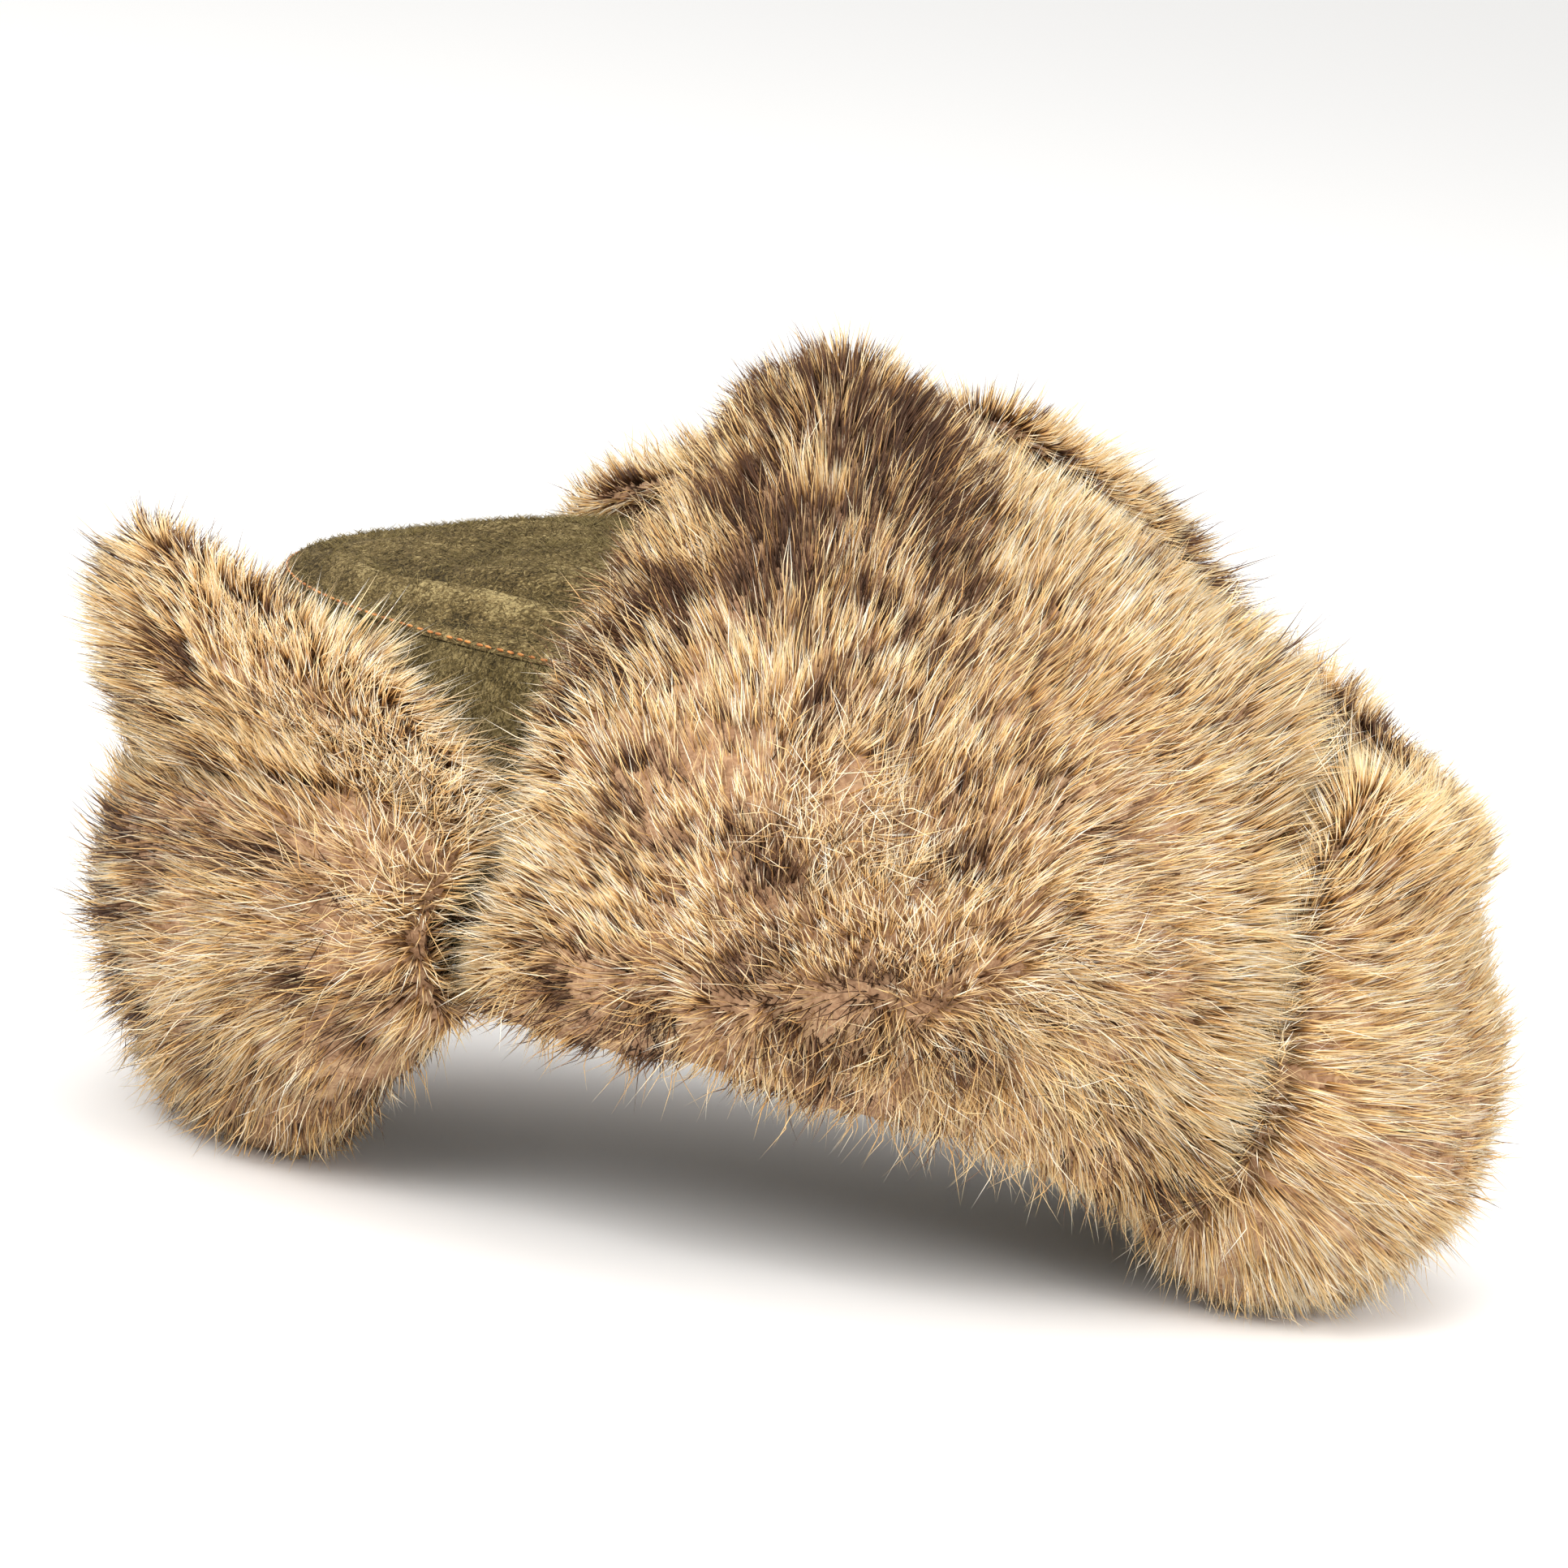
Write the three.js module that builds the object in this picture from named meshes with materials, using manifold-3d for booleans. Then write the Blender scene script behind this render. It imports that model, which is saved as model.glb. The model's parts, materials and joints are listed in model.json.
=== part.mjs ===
// Fur cap with its front, ear and neck flaps turned up. Millimetres, +Z up, front towards -X.
// The wearer's left side is towards -Y. The cap stands on the fur of its front and neck flaps.

import * as THREE from 'three';
import { mergeVertices } from 'three/addons/utils/BufferGeometryUtils.js';
import Module from 'manifold-3d';

const wasm = await Module();
wasm.setup();

// Driving sizes
const CROWN_WALL = 2.5;
const BACKING_WALL = 2;
const GAP = 0.3;
const SEAM_HEIGHT = 131.5;
const HEM_ABOVE_FUR = 14;
const FUR_DEPTH = 14;
const EDGE_DEPTH = 6;
const FUR_LUMP = 1.6;
const CROWN_COLUMNS = 40;
const CROWN_ROWS = 6;
const FLAP_COLUMNS = 11;

// Colours of the wool, its thread-brown backing, the fur and the tie
const WOOL = new THREE.MeshStandardMaterial({ color: 0x66603a, roughness: 0.95, metalness: 0 });
const BACKING = new THREE.MeshStandardMaterial({ color: 0x575231, roughness: 0.95, metalness: 0 });
const FUR = new THREE.MeshStandardMaterial({ color: 0xb8935f, roughness: 0.8, metalness: 0 });
const TIE = new THREE.MeshStandardMaterial({ color: 0x3d3828, roughness: 0.7, metalness: 0 });

// Crown side panel: the oval's centre behind the frame's zero, half length and half width
const CROWN = [
  { z: 0, centre: 67, long: 108, wide: 82 },
  { z: 40, centre: 58, long: 111, wide: 84 },
  { z: 80, centre: 49.5, long: 113.5, wide: 85 },
  { z: 110, centre: 43, long: 115, wide: 84 },
  { z: 124, centre: 40, long: 114.5, wide: 81 },
  { z: 134, centre: 38.5, long: 110, wide: 76 },
];

// Crown top panel: rings from the seam to the middle, lean is how far the wall has laid over
const CROWN_TOP = [
  { z: 131.5, centre: 38.9, long: 111.3, wide: 77.5, lean: 0 },
  { z: 136.5, centre: 38.4, long: 105.5, wide: 72, lean: 45 },
  { z: 141.8, centre: 38, long: 91, wide: 61, lean: 65 },
  { z: 146.6, centre: 37, long: 67, wide: 44, lean: 78 },
  { z: 149.8, centre: 37, long: 38, wide: 25, lean: 86 },
  { z: 150.8, centre: 37, long: 0, wide: 0, lean: 90 },
];

// Lowest fur round the rim, by the angle from the front: both ends rest, the sides arch up
const RIM = [
  { angle: 0, z: 0 },
  { angle: 9, z: 0 },
  { angle: 17, z: 6 },
  { angle: 26, z: 18 },
  { angle: 36, z: 32 },
  { angle: 45, z: 41 },
  { angle: 56, z: 46 },
  { angle: 75, z: 48 },
  { angle: 96, z: 45 },
  { angle: 114, z: 38 },
  { angle: 133, z: 22 },
  { angle: 148, z: 6 },
  { angle: 160, z: 0 },
  { angle: 180, z: 0 },
];

// Sections of each flap from the hem at 0 to the top at 1. rise is the height above the hem,
// shift moves the section's oval back, ahead and aside are how far it stands off the crown,
// from and to are the angles of its edges and droop is how much its edges hang below its middle.
const FRONT_ROWS = [
  { at: 0, rise: 3, shift: 0, ahead: 0.8, aside: 0.8, from: -52, to: 52, droop: 0 },
  { at: 0.06, rise: 0, shift: 0, ahead: 7, aside: 5, from: -52, to: 52, droop: 0 },
  { at: 0.13, rise: 1, shift: 0, ahead: 16, aside: 9, from: -52.5, to: 52.5, droop: 0 },
  { at: 0.24, rise: 12, shift: 0, ahead: 24, aside: 12, from: -53, to: 53, droop: 0 },
  { at: 0.4, rise: 31, shift: 0, ahead: 30, aside: 15, from: -55, to: 55, droop: 0 },
  { at: 0.56, rise: 52, shift: 0, ahead: 27, aside: 14, from: -57.5, to: 57.5, droop: 1 },
  { at: 0.72, rise: 73, shift: 0, ahead: 15, aside: 10, from: -58.5, to: 58.5, droop: 3 },
  { at: 0.86, rise: 94, shift: 0, ahead: 19, aside: 10, from: -56, to: 56, droop: 4 },
  { at: 0.94, rise: 108, shift: 0, ahead: 26, aside: 11, from: -52, to: 52, droop: 4 },
  { at: 1, rise: 121, shift: 0, ahead: 29, aside: 10, from: -46, to: 46, droop: 4 },
];
const NECK_ROWS = [
  { at: 0, rise: 3, shift: 0, ahead: 0.8, aside: 0.8, from: 137, to: 223, droop: 0 },
  { at: 0.06, rise: 0, shift: 0, ahead: 8, aside: 5, from: 137, to: 223, droop: 0 },
  { at: 0.13, rise: 1, shift: 0, ahead: 21, aside: 10, from: 137.5, to: 222.5, droop: 0 },
  { at: 0.24, rise: 12, shift: 0, ahead: 35, aside: 18, from: 138.5, to: 221.5, droop: 0 },
  { at: 0.4, rise: 31, shift: 0, ahead: 44, aside: 25, from: 140, to: 220, droop: 0 },
  { at: 0.56, rise: 50, shift: 0, ahead: 43, aside: 28, from: 142, to: 218, droop: -1 },
  { at: 0.72, rise: 70, shift: 0, ahead: 39, aside: 30, from: 144, to: 216, droop: -4 },
  { at: 0.86, rise: 86, shift: 0, ahead: 39, aside: 32, from: 146.5, to: 213, droop: -8 },
  { at: 1, rise: 101, shift: 0, ahead: 42, aside: 34, from: 149, to: 209, droop: -12 },
];
const EAR_ROWS = [
  { at: 0, rise: 3, shift: 0, ahead: 0.8, aside: 0.8, from: 54.5, to: 135.5, droop: 0 },
  { at: 0.05, rise: 0, shift: 0, ahead: 4, aside: 5, from: 54.5, to: 135.5, droop: 0 },
  { at: 0.11, rise: 4, shift: 1, ahead: 8, aside: 9, from: 55.5, to: 135.5, droop: 0 },
  { at: 0.22, rise: 20, shift: 4, ahead: 9, aside: 10, from: 58.5, to: 137, droop: 0 },
  { at: 0.38, rise: 43, shift: 9, ahead: 10, aside: 12, from: 61, to: 140, droop: 0 },
  { at: 0.54, rise: 66, shift: 14, ahead: 10, aside: 11, from: 62, to: 142, droop: 0 },
  { at: 0.69, rise: 90, shift: 21, ahead: 9, aside: -9, from: 63.5, to: 136, droop: 0 },
  { at: 0.81, rise: 108, shift: 25, ahead: -2, aside: -38, from: 66, to: 132, droop: 0 },
  { at: 0.91, rise: 123, shift: 27, ahead: -12, aside: -62, from: 68, to: 124, droop: 0 },
  { at: 1, rise: 136, shift: 27, ahead: -22, aside: -76, from: 70, to: 117, droop: 0 },
];

// The right ear flap lies further in over the crown than the left one
const RIGHT_EAR_LEAN = 9;
const RIGHT_EAR_ROWS = EAR_ROWS.map(
  (row) => ({ ...row, aside: row.aside - RIGHT_EAR_LEAN * row.at ** 4 }),
);

// How far up its sections each flap reaches, from the start of across to its end
const LEFT_EAR_TOP = [
  { across: 0, reach: 0.93 },
  { across: 0.16, reach: 1 },
  { across: 0.32, reach: 0.98 },
  { across: 0.46, reach: 0.88 },
  { across: 0.65, reach: 0.86 },
  { across: 0.84, reach: 0.78 },
  { across: 1, reach: 0.7 },
];
const RIGHT_EAR_TOP = [
  { across: 0, reach: 0.65 },
  { across: 0.16, reach: 0.75 },
  { across: 0.36, reach: 0.87 },
  { across: 0.6, reach: 0.93 },
  { across: 0.8, reach: 0.84 },
  { across: 0.92, reach: 0.72 },
  { across: 1, reach: 0.64 },
];
const FRONT_TOP = [
  { across: 0, reach: 0.76 },
  { across: 0.25, reach: 0.8 },
  { across: 0.45, reach: 0.92 },
  { across: 0.6, reach: 1 },
  { across: 0.8, reach: 1.01 },
  { across: 1, reach: 0.97 },
];
const NECK_TOP = [
  { across: 0, reach: 1 },
  { across: 1, reach: 1 },
];

// Where the locks point on each flap: degrees from straight up towards the far end of across
const FRONT_FLOW = [
  { up: 0, near: 200, middle: 180, far: 160 },
  { up: 0.3, near: 120, middle: 180, far: -120 },
  { up: 0.6, near: 50, middle: 0, far: -50 },
  { up: 1, near: 20, middle: 0, far: -20 },
];
const NECK_FLOW = [
  { up: 0, near: 150, middle: 180, far: 210 },
  { up: 0.3, near: 110, middle: 180, far: 250 },
  { up: 0.6, near: 45, middle: 10, far: -45 },
  { up: 1, near: 25, middle: 0, far: -25 },
];
const EAR_FLOW = [
  { up: 0, near: -150, middle: 180, far: 130 },
  { up: 0.2, near: -60, middle: 40, far: 95 },
  { up: 0.5, near: -34, middle: 10, far: 52 },
  { up: 1, near: -34, middle: -5, far: 25 },
];

// A row of a table at any key, each column on a smooth curve through the rows beside it
function sampleRow(table, key, at) {
  const last = table.length - 1;
  let index = table.findIndex((row) => row[key] > at) - 1;
  if (index === -2) index = last - 1;
  index = Math.max(0, Math.min(last - 1, index));
  const [low, high] = [table[index], table[index + 1]];
  const span = high[key] - low[key];
  const along = (at - low[key]) / span;
  const sampled = {};
  for (const column of Object.keys(low)) {
    const slope = (row) => {
      const before = table[Math.max(0, row - 1)];
      const after = table[Math.min(last, row + 1)];
      return ((after[column] - before[column]) / (after[key] - before[key])) * span;
    };
    const [start, finish] = [slope(index), slope(index + 1)];
    const change = high[column] - low[column];
    const square = along * along;
    const cube = square * along;
    sampled[column] = low[column] + start * (along - 2 * square + cube)
      + change * (3 * square - 2 * cube) + finish * (cube - square);
  }
  sampled[key] = at;
  return sampled;
}

// Height of the cloth's hem at an angle round the rim
function hemHeight(angle) {
  const turned = Math.abs(((angle + 540) % 360) - 180);
  return HEM_ABOVE_FUR + Math.max(0, sampleRow(RIM, 'angle', turned).z);
}

// A point of an oval section: angle 0 is the front, 90 the wearer's left
function ovalPoint(section, angle, z) {
  const turn = THREE.MathUtils.degToRad(angle);
  const x = section.centre - section.long * Math.cos(turn);
  return new THREE.Vector3(x, -section.wide * Math.sin(turn), z);
}

// The crown's oval at a height; above the shoulder the flaps keep its widest oval
function crownOval(z) {
  return sampleRow(CROWN, 'z', Math.max(0, Math.min(z, SEAM_HEIGHT)));
}
function flapOval(z) {
  const shoulder = CROWN[CROWN.length - 2];
  return z > shoulder.z ? shoulder : crownOval(z);
}

// Flaps: sections, top line, flow of the locks, side of the frame and the rim angle of the middle
const FLAPS = {
  front: { rows: FRONT_ROWS, top: FRONT_TOP, flow: FRONT_FLOW, side: 1, middle: 0 },
  neck: { rows: NECK_ROWS, top: NECK_TOP, flow: NECK_FLOW, side: 1, middle: 180, tuck: 12 },
  left_ear: { rows: EAR_ROWS, top: LEFT_EAR_TOP, flow: EAR_FLOW, side: 1, middle: 90 },
  right_ear: { rows: RIGHT_EAR_ROWS, top: RIGHT_EAR_TOP, flow: EAR_FLOW, side: -1, middle: 90 },
};

// The face of a flap that looks at the crown: across and up run from 0 to 1
function sheetPoint(flap, across, up) {
  const at = up * sampleRow(flap.top, 'across', across).reach;
  const row = sampleRow(flap.rows, 'at', at);
  const angle = row.from + (row.to - row.from) * across;
  const hem = THREE.MathUtils.lerp(hemHeight(angle), hemHeight(flap.middle), at);
  const fromMiddle = 2 * across - 1;
  const z = hem + row.rise - row.droop * fromMiddle * fromMiddle;
  const oval = flapOval(z);
  const tuck = (flap.tuck ?? 0) * Math.sin(Math.PI * Math.min(1, at)) * fromMiddle ** 4;
  const section = {
    centre: oval.centre + row.shift,
    long: oval.long + row.ahead - tuck,
    wide: oval.wide + row.aside - tuck,
  };
  return ovalPoint(section, angle * flap.side, z);
}

// Outward, upward and sideways directions of a flap at a point
function sheetAxes(flap, across, up) {
  const step = 0.004;
  const sideways = sheetPoint(flap, across + step, up).sub(sheetPoint(flap, across - step, up));
  const upward = sheetPoint(flap, across, up + step).sub(sheetPoint(flap, across, up - step));
  sideways.normalize();
  const outward = new THREE.Vector3().crossVectors(sideways, upward).normalize();
  upward.crossVectors(outward, sideways);
  return { outward: outward.multiplyScalar(flap.side), upward, sideways };
}

// A point off a flap's crown face, measured outwards
function offSheet(flap, across, up, distance) {
  const point = sheetPoint(flap, across, up);
  return point.addScaledVector(sheetAxes(flap, across, up).outward, distance);
}

// A closed mesh from points and triangles, turned so that its faces look out
function closedGeometry(points, triangles) {
  let volume = 0;
  for (const [i, j, k] of triangles) {
    volume += points[i].dot(new THREE.Vector3().crossVectors(points[j], points[k]));
  }
  const faces = volume > 0 ? triangles : triangles.map(([i, j, k]) => [i, k, j]);
  const geometry = new THREE.BufferGeometry().setFromPoints(points);
  geometry.setIndex(faces.flat());
  return geometry;
}

// A wall between two faces of rows by columns points, closed into a ring where it goes all round
function wallGeometry(outer, inner, ring) {
  const rows = outer.length;
  const columns = outer[0].length;
  const points = [...outer.flat(), ...inner.flat()];
  const behind = rows * columns;
  const triangles = [];
  const quad = (a, b, c, d) => triangles.push([a, b, c], [a, c, d]);
  const steps = ring ? columns : columns - 1;
  for (let row = 0; row < rows - 1; row += 1) {
    for (let column = 0; column < steps; column += 1) {
      const next = (column + 1) % columns;
      const [a, b] = [row * columns + column, row * columns + next];
      quad(a, b, b + columns, a + columns);
      quad(behind + a + columns, behind + b + columns, behind + b, behind + a);
    }
  }
  for (let column = 0; column < steps; column += 1) {
    const next = (column + 1) % columns;
    const top = (rows - 1) * columns;
    quad(behind + column, behind + next, next, column);
    quad(top + column, top + next, behind + top + next, behind + top + column);
  }
  for (let row = 0; row < rows - 1 && !ring; row += 1) {
    const left = row * columns;
    const right = left + columns - 1;
    quad(left, left + columns, behind + left + columns, behind + left);
    quad(behind + right, behind + right + columns, right + columns, right);
  }
  return closedGeometry(points, triangles);
}

// Crown side panel: an oval wall from the arched hem to the level seam
function crownSide() {
  const face = (inset) => {
    const rows = [];
    for (let row = 0; row <= CROWN_ROWS; row += 1) {
      rows.push([]);
      for (let column = 0; column < CROWN_COLUMNS; column += 1) {
        const angle = (360 * column) / CROWN_COLUMNS;
        const lift = 1 - (1 - row / CROWN_ROWS) ** 1.3;
        const z = THREE.MathUtils.lerp(hemHeight(angle) + 3, SEAM_HEIGHT, lift);
        const oval = crownOval(z);
        const section = { centre: oval.centre, long: oval.long - inset, wide: oval.wide - inset };
        rows[row].push(ovalPoint(section, angle, z));
      }
    }
    return rows;
  };
  return wallGeometry(face(0), face(CROWN_WALL), true);
}

// Crown top panel: a shallow dome with a few slack folds towards its front edge
function crownTop() {
  const slack = (angle, row) => {
    const share = Math.sin((Math.PI * row) / (CROWN_TOP.length - 1));
    const forward = Math.max(0, Math.cos(THREE.MathUtils.degToRad(angle)));
    return 1.5 * share * forward * Math.sin(THREE.MathUtils.degToRad(7 * angle) + row);
  };
  const face = (thickness) => CROWN_TOP.slice(0, -1).map((ring, row) => {
    const lean = THREE.MathUtils.degToRad(ring.lean);
    const inset = thickness * Math.cos(lean);
    const section = { centre: ring.centre, long: ring.long - inset, wide: ring.wide - inset };
    const z = ring.z + GAP - thickness * Math.sin(lean);
    return Array.from({ length: CROWN_COLUMNS }, (_, column) => {
      const angle = (360 * column) / CROWN_COLUMNS;
      return ovalPoint(section, angle, z + slack(angle, row));
    });
  });
  const [outer, inner] = [face(0), face(CROWN_WALL)];
  const crest = CROWN_TOP[CROWN_TOP.length - 1];
  const points = [...outer.flat(), ...inner.flat()];
  points.push(new THREE.Vector3(crest.centre, 0, crest.z + GAP));
  points.push(new THREE.Vector3(crest.centre, 0, crest.z + GAP - CROWN_WALL));
  const behind = outer.length * CROWN_COLUMNS;
  const [peak, hollow] = [2 * behind, 2 * behind + 1];
  const triangles = [];
  for (let column = 0; column < CROWN_COLUMNS; column += 1) {
    const next = (column + 1) % CROWN_COLUMNS;
    for (let row = 0; row < outer.length - 1; row += 1) {
      const [a, b] = [row * CROWN_COLUMNS + column, row * CROWN_COLUMNS + next];
      const [c, d] = [b + CROWN_COLUMNS, a + CROWN_COLUMNS];
      triangles.push([a, b, c], [a, c, d]);
      triangles.push([behind + d, behind + c, behind + b], [behind + d, behind + b, behind + a]);
    }
    const last = (outer.length - 1) * CROWN_COLUMNS;
    triangles.push([last + column, last + next, peak]);
    triangles.push([behind + last + next, behind + last + column, hollow]);
    triangles.push([behind + column, behind + next, next], [behind + column, next, column]);
  }
  return closedGeometry(points, triangles);
}

// A face of a flap, with distance a function of across and up
function flapFace(flap, distance) {
  return flap.rows.map((row) => Array.from({ length: FLAP_COLUMNS + 1 }, (_, column) => {
    const across = column / FLAP_COLUMNS;
    return offSheet(flap, across, row.at, distance(across, row.at));
  }));
}

// Cloth that backs a flap, on the side that looks at the crown
function flapCloth(flap) {
  return wallGeometry(flapFace(flap, () => BACKING_WALL), flapFace(flap, () => 0), false);
}

// Depth of the fur body, thinner at its free edges and uneven like a combed pelt
function furDepth(across, up) {
  const fromEdge = Math.min(across, 1 - across) / 0.16;
  const fromTop = (1 - up) / 0.14;
  const fromHem = 0.35 + up / 0.1;
  const fullness = Math.sqrt(Math.max(0, Math.min(1, fromEdge, fromTop, fromHem)));
  const lump = FUR_LUMP * Math.sin(17 * across + 5 * up) * Math.sin(13 * up - 4 * across);
  return EDGE_DEPTH + (FUR_DEPTH - EDGE_DEPTH + lump) * fullness;
}

// Repeatable random numbers between 0 and 1
function randomSource(seed) {
  let state = seed;
  return () => {
    state = (state * 1664525 + 1013904223) % 4294967296;
    return state / 4294967296;
  };
}

// One lock of fur: a flat tapering tuft that springs from inside the body and lies along the flow
const LOCK_SECTIONS = [
  { along: 0, width: 0.75, height: 0.9 },
  { along: 0.5, width: 1, height: 1 },
];
function lockGeometry(flap, across, up, size) {
  const axes = sheetAxes(flap, across, up);
  const flow = sampleRow(flap.flow, 'up', up);
  const share = across < 0.5 ? 2 * across : 2 * across - 1;
  const [start, finish] = across < 0.5 ? [flow.near, flow.middle] : [flow.middle, flow.far];
  const turn = THREE.MathUtils.degToRad(THREE.MathUtils.lerp(start, finish, share) + size.stray);
  const forward = axes.upward.clone().multiplyScalar(Math.cos(turn));
  forward.addScaledVector(axes.sideways, Math.sin(turn));
  const aside = new THREE.Vector3().crossVectors(axes.outward, forward);
  const root = offSheet(flap, across, up, BACKING_WALL + GAP + 0.72 * furDepth(across, up));
  const pathPoint = (along) => root.clone()
    .addScaledVector(forward, size.length * along)
    .addScaledVector(axes.outward, size.lift * along * (1.7 - 0.7 * along));
  const points = [];
  for (const section of LOCK_SECTIONS) {
    const middle = pathPoint(section.along);
    const [width, height] = [size.width * section.width / 2, size.height * section.height / 2];
    points.push(middle.clone().addScaledVector(aside, width));
    points.push(middle.clone().addScaledVector(axes.outward, height));
    points.push(middle.clone().addScaledVector(aside, -width));
    points.push(middle.clone().addScaledVector(axes.outward, -height));
  }
  points.push(pathPoint(1));
  const tip = points.length - 1;
  const triangles = [[0, 1, 2], [0, 2, 3]];
  for (let section = 0; section < LOCK_SECTIONS.length; section += 1) {
    for (let corner = 0; corner < 4; corner += 1) {
      const [a, b] = [4 * section + corner, 4 * section + ((corner + 1) % 4)];
      if (section === LOCK_SECTIONS.length - 1) {
        triangles.push([b, a, tip]);
      } else {
        triangles.push([b, a, a + 4], [b, a + 4, b + 4]);
      }
    }
  }
  return closedGeometry(points, triangles);
}

// Conversion between a three.js geometry and a manifold solid
function toSolid(geometry) {
  const bare = geometry.clone();
  bare.deleteAttribute('normal');
  bare.deleteAttribute('uv');
  const merged = mergeVertices(bare, 1e-4);
  return new wasm.Manifold(new wasm.Mesh({
    numProp: 3,
    vertProperties: new Float32Array(merged.attributes.position.array),
    triVerts: new Uint32Array(merged.index.array),
  }));
}
function toGeometry(solid) {
  const mesh = solid.getMesh();
  const geometry = new THREE.BufferGeometry();
  geometry.setAttribute('position', new THREE.BufferAttribute(mesh.vertProperties, 3));
  geometry.setIndex(new THREE.BufferAttribute(mesh.triVerts, 1));
  return geometry;
}

// The slab below the floor, which flattens the fur that the cap stands on
function belowFloor() {
  const slab = new THREE.BoxGeometry(800, 800, 100);
  slab.translate(0, 0, -50);
  return toSolid(slab);
}

// Fur of a flap: a body in front of the cloth with rows of locks fused to it
const LOCK_ROWS = 6;
const LOCKS_A_ROW = 7;
function flapFur(flap, seed) {
  const random = randomSource(seed);
  const inner = flapFace(flap, () => BACKING_WALL + GAP);
  const outer = flapFace(flap, (across, up) => BACKING_WALL + GAP + furDepth(across, up));
  let fur = toSolid(wallGeometry(outer, inner, false));
  for (let row = 0; row < LOCK_ROWS; row += 1) {
    for (let column = 0; column < LOCKS_A_ROW; column += 1) {
      const across = 0.1 + (0.8 * (column + 0.2 + 0.6 * random())) / LOCKS_A_ROW;
      const up = 0.06 + (0.82 * (row + 0.25 + 0.5 * random())) / LOCK_ROWS;
      const size = {
        length: 28 + 8 * random(),
        width: 14 + 5 * random(),
        height: 5,
        lift: 6 + 3 * random(),
        stray: 24 * random() - 12,
      };
      fur = fur.add(toSolid(lockGeometry(flap, across, up, size)));
    }
  }
  const behind = wallGeometry(inner, flapFace(flap, () => -BACKING_WALL), false);
  return toGeometry(fur.subtract(toSolid(behind)).subtract(belowFloor()));
}

// The plain tie that holds the tips of the ear flaps together above the crown
const TIE_PLACE = { left: { across: 0.36, up: 0.95 }, right: { across: 0.5, up: 0.95 } };
const TIE_RADIUS = 3;
const TIE_SIDES = 10;
function flapTie() {
  const ends = [[FLAPS.left_ear, TIE_PLACE.left], [FLAPS.right_ear, TIE_PLACE.right]];
  const points = [];
  for (const [flap, place] of ends) {
    const middle = offSheet(flap, place.across, place.up, -2 * GAP);
    const { upward, sideways } = sheetAxes(flap, place.across, place.up);
    for (let side = 0; side < TIE_SIDES; side += 1) {
      const turn = (2 * Math.PI * side) / TIE_SIDES;
      points.push(middle.clone()
        .addScaledVector(upward, TIE_RADIUS * Math.cos(turn))
        .addScaledVector(sideways, TIE_RADIUS * Math.sin(turn)));
    }
  }
  const triangles = [];
  for (let side = 0; side < TIE_SIDES; side += 1) {
    const next = (side + 1) % TIE_SIDES;
    triangles.push([side, next, next + TIE_SIDES], [side, next + TIE_SIDES, side + TIE_SIDES]);
    if (side > 0 && side < TIE_SIDES - 1) {
      triangles.push([0, next, side], [TIE_SIDES, TIE_SIDES + side, TIE_SIDES + next]);
    }
  }
  return closedGeometry(points, triangles);
}

// The whole cap, moved so that the frame's zero is the middle of its box on the floor
function furCap() {
  const pieces = [
    ['crown_side', crownSide(), WOOL],
    ['crown_top', crownTop(), WOOL],
    ['flap_tie', flapTie(), TIE],
  ];
  const seeds = { front: 14, neck: 23, left_ear: 37, right_ear: 51 };
  for (const [name, flap] of Object.entries(FLAPS)) {
    pieces.push([`${name}_flap_cloth`, flapCloth(flap), BACKING]);
    pieces.push([`${name}_flap_fur`, flapFur(flap, seeds[name]), FUR]);
  }
  const cap = new THREE.Group();
  for (const [name, geometry, material] of pieces) {
    const mesh = new THREE.Mesh(geometry, material);
    mesh.name = name;
    cap.add(mesh);
  }
  const box = new THREE.Box3().setFromObject(cap);
  const centre = box.getCenter(new THREE.Vector3());
  cap.position.set(-centre.x, -centre.y, -box.min.z);
  return cap;
}

export default furCap();
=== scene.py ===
"""Fur cap with four turned-up flaps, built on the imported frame. Shapes are worked out in millimetres."""

import json
import logging
import math
from collections.abc import Callable
from dataclasses import dataclass, field
from enum import Enum

import bpy
import numpy as np
from mathutils import Matrix, Vector

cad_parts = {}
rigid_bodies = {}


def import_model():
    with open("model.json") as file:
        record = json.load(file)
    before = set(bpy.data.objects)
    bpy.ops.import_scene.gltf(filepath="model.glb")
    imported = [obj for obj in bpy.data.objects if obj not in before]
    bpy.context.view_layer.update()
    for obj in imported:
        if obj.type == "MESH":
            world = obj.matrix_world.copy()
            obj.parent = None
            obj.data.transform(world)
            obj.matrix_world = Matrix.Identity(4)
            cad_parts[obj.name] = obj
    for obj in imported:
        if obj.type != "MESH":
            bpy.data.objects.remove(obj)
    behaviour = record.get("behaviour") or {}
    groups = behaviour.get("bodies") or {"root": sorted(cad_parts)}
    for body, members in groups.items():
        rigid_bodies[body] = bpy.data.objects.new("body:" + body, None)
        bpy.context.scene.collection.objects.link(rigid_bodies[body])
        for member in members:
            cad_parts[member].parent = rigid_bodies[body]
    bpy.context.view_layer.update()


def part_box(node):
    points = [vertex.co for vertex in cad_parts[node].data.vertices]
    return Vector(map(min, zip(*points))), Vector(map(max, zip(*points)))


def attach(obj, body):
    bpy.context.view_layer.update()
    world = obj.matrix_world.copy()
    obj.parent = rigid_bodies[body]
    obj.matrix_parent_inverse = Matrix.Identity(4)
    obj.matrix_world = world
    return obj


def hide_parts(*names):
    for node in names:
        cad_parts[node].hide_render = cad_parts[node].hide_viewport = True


Array = np.ndarray
LOG = logging.getLogger("fur_cap")
BODY = "root"
HAIR_UV = "OFBake"
FOLD = "fold"

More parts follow.
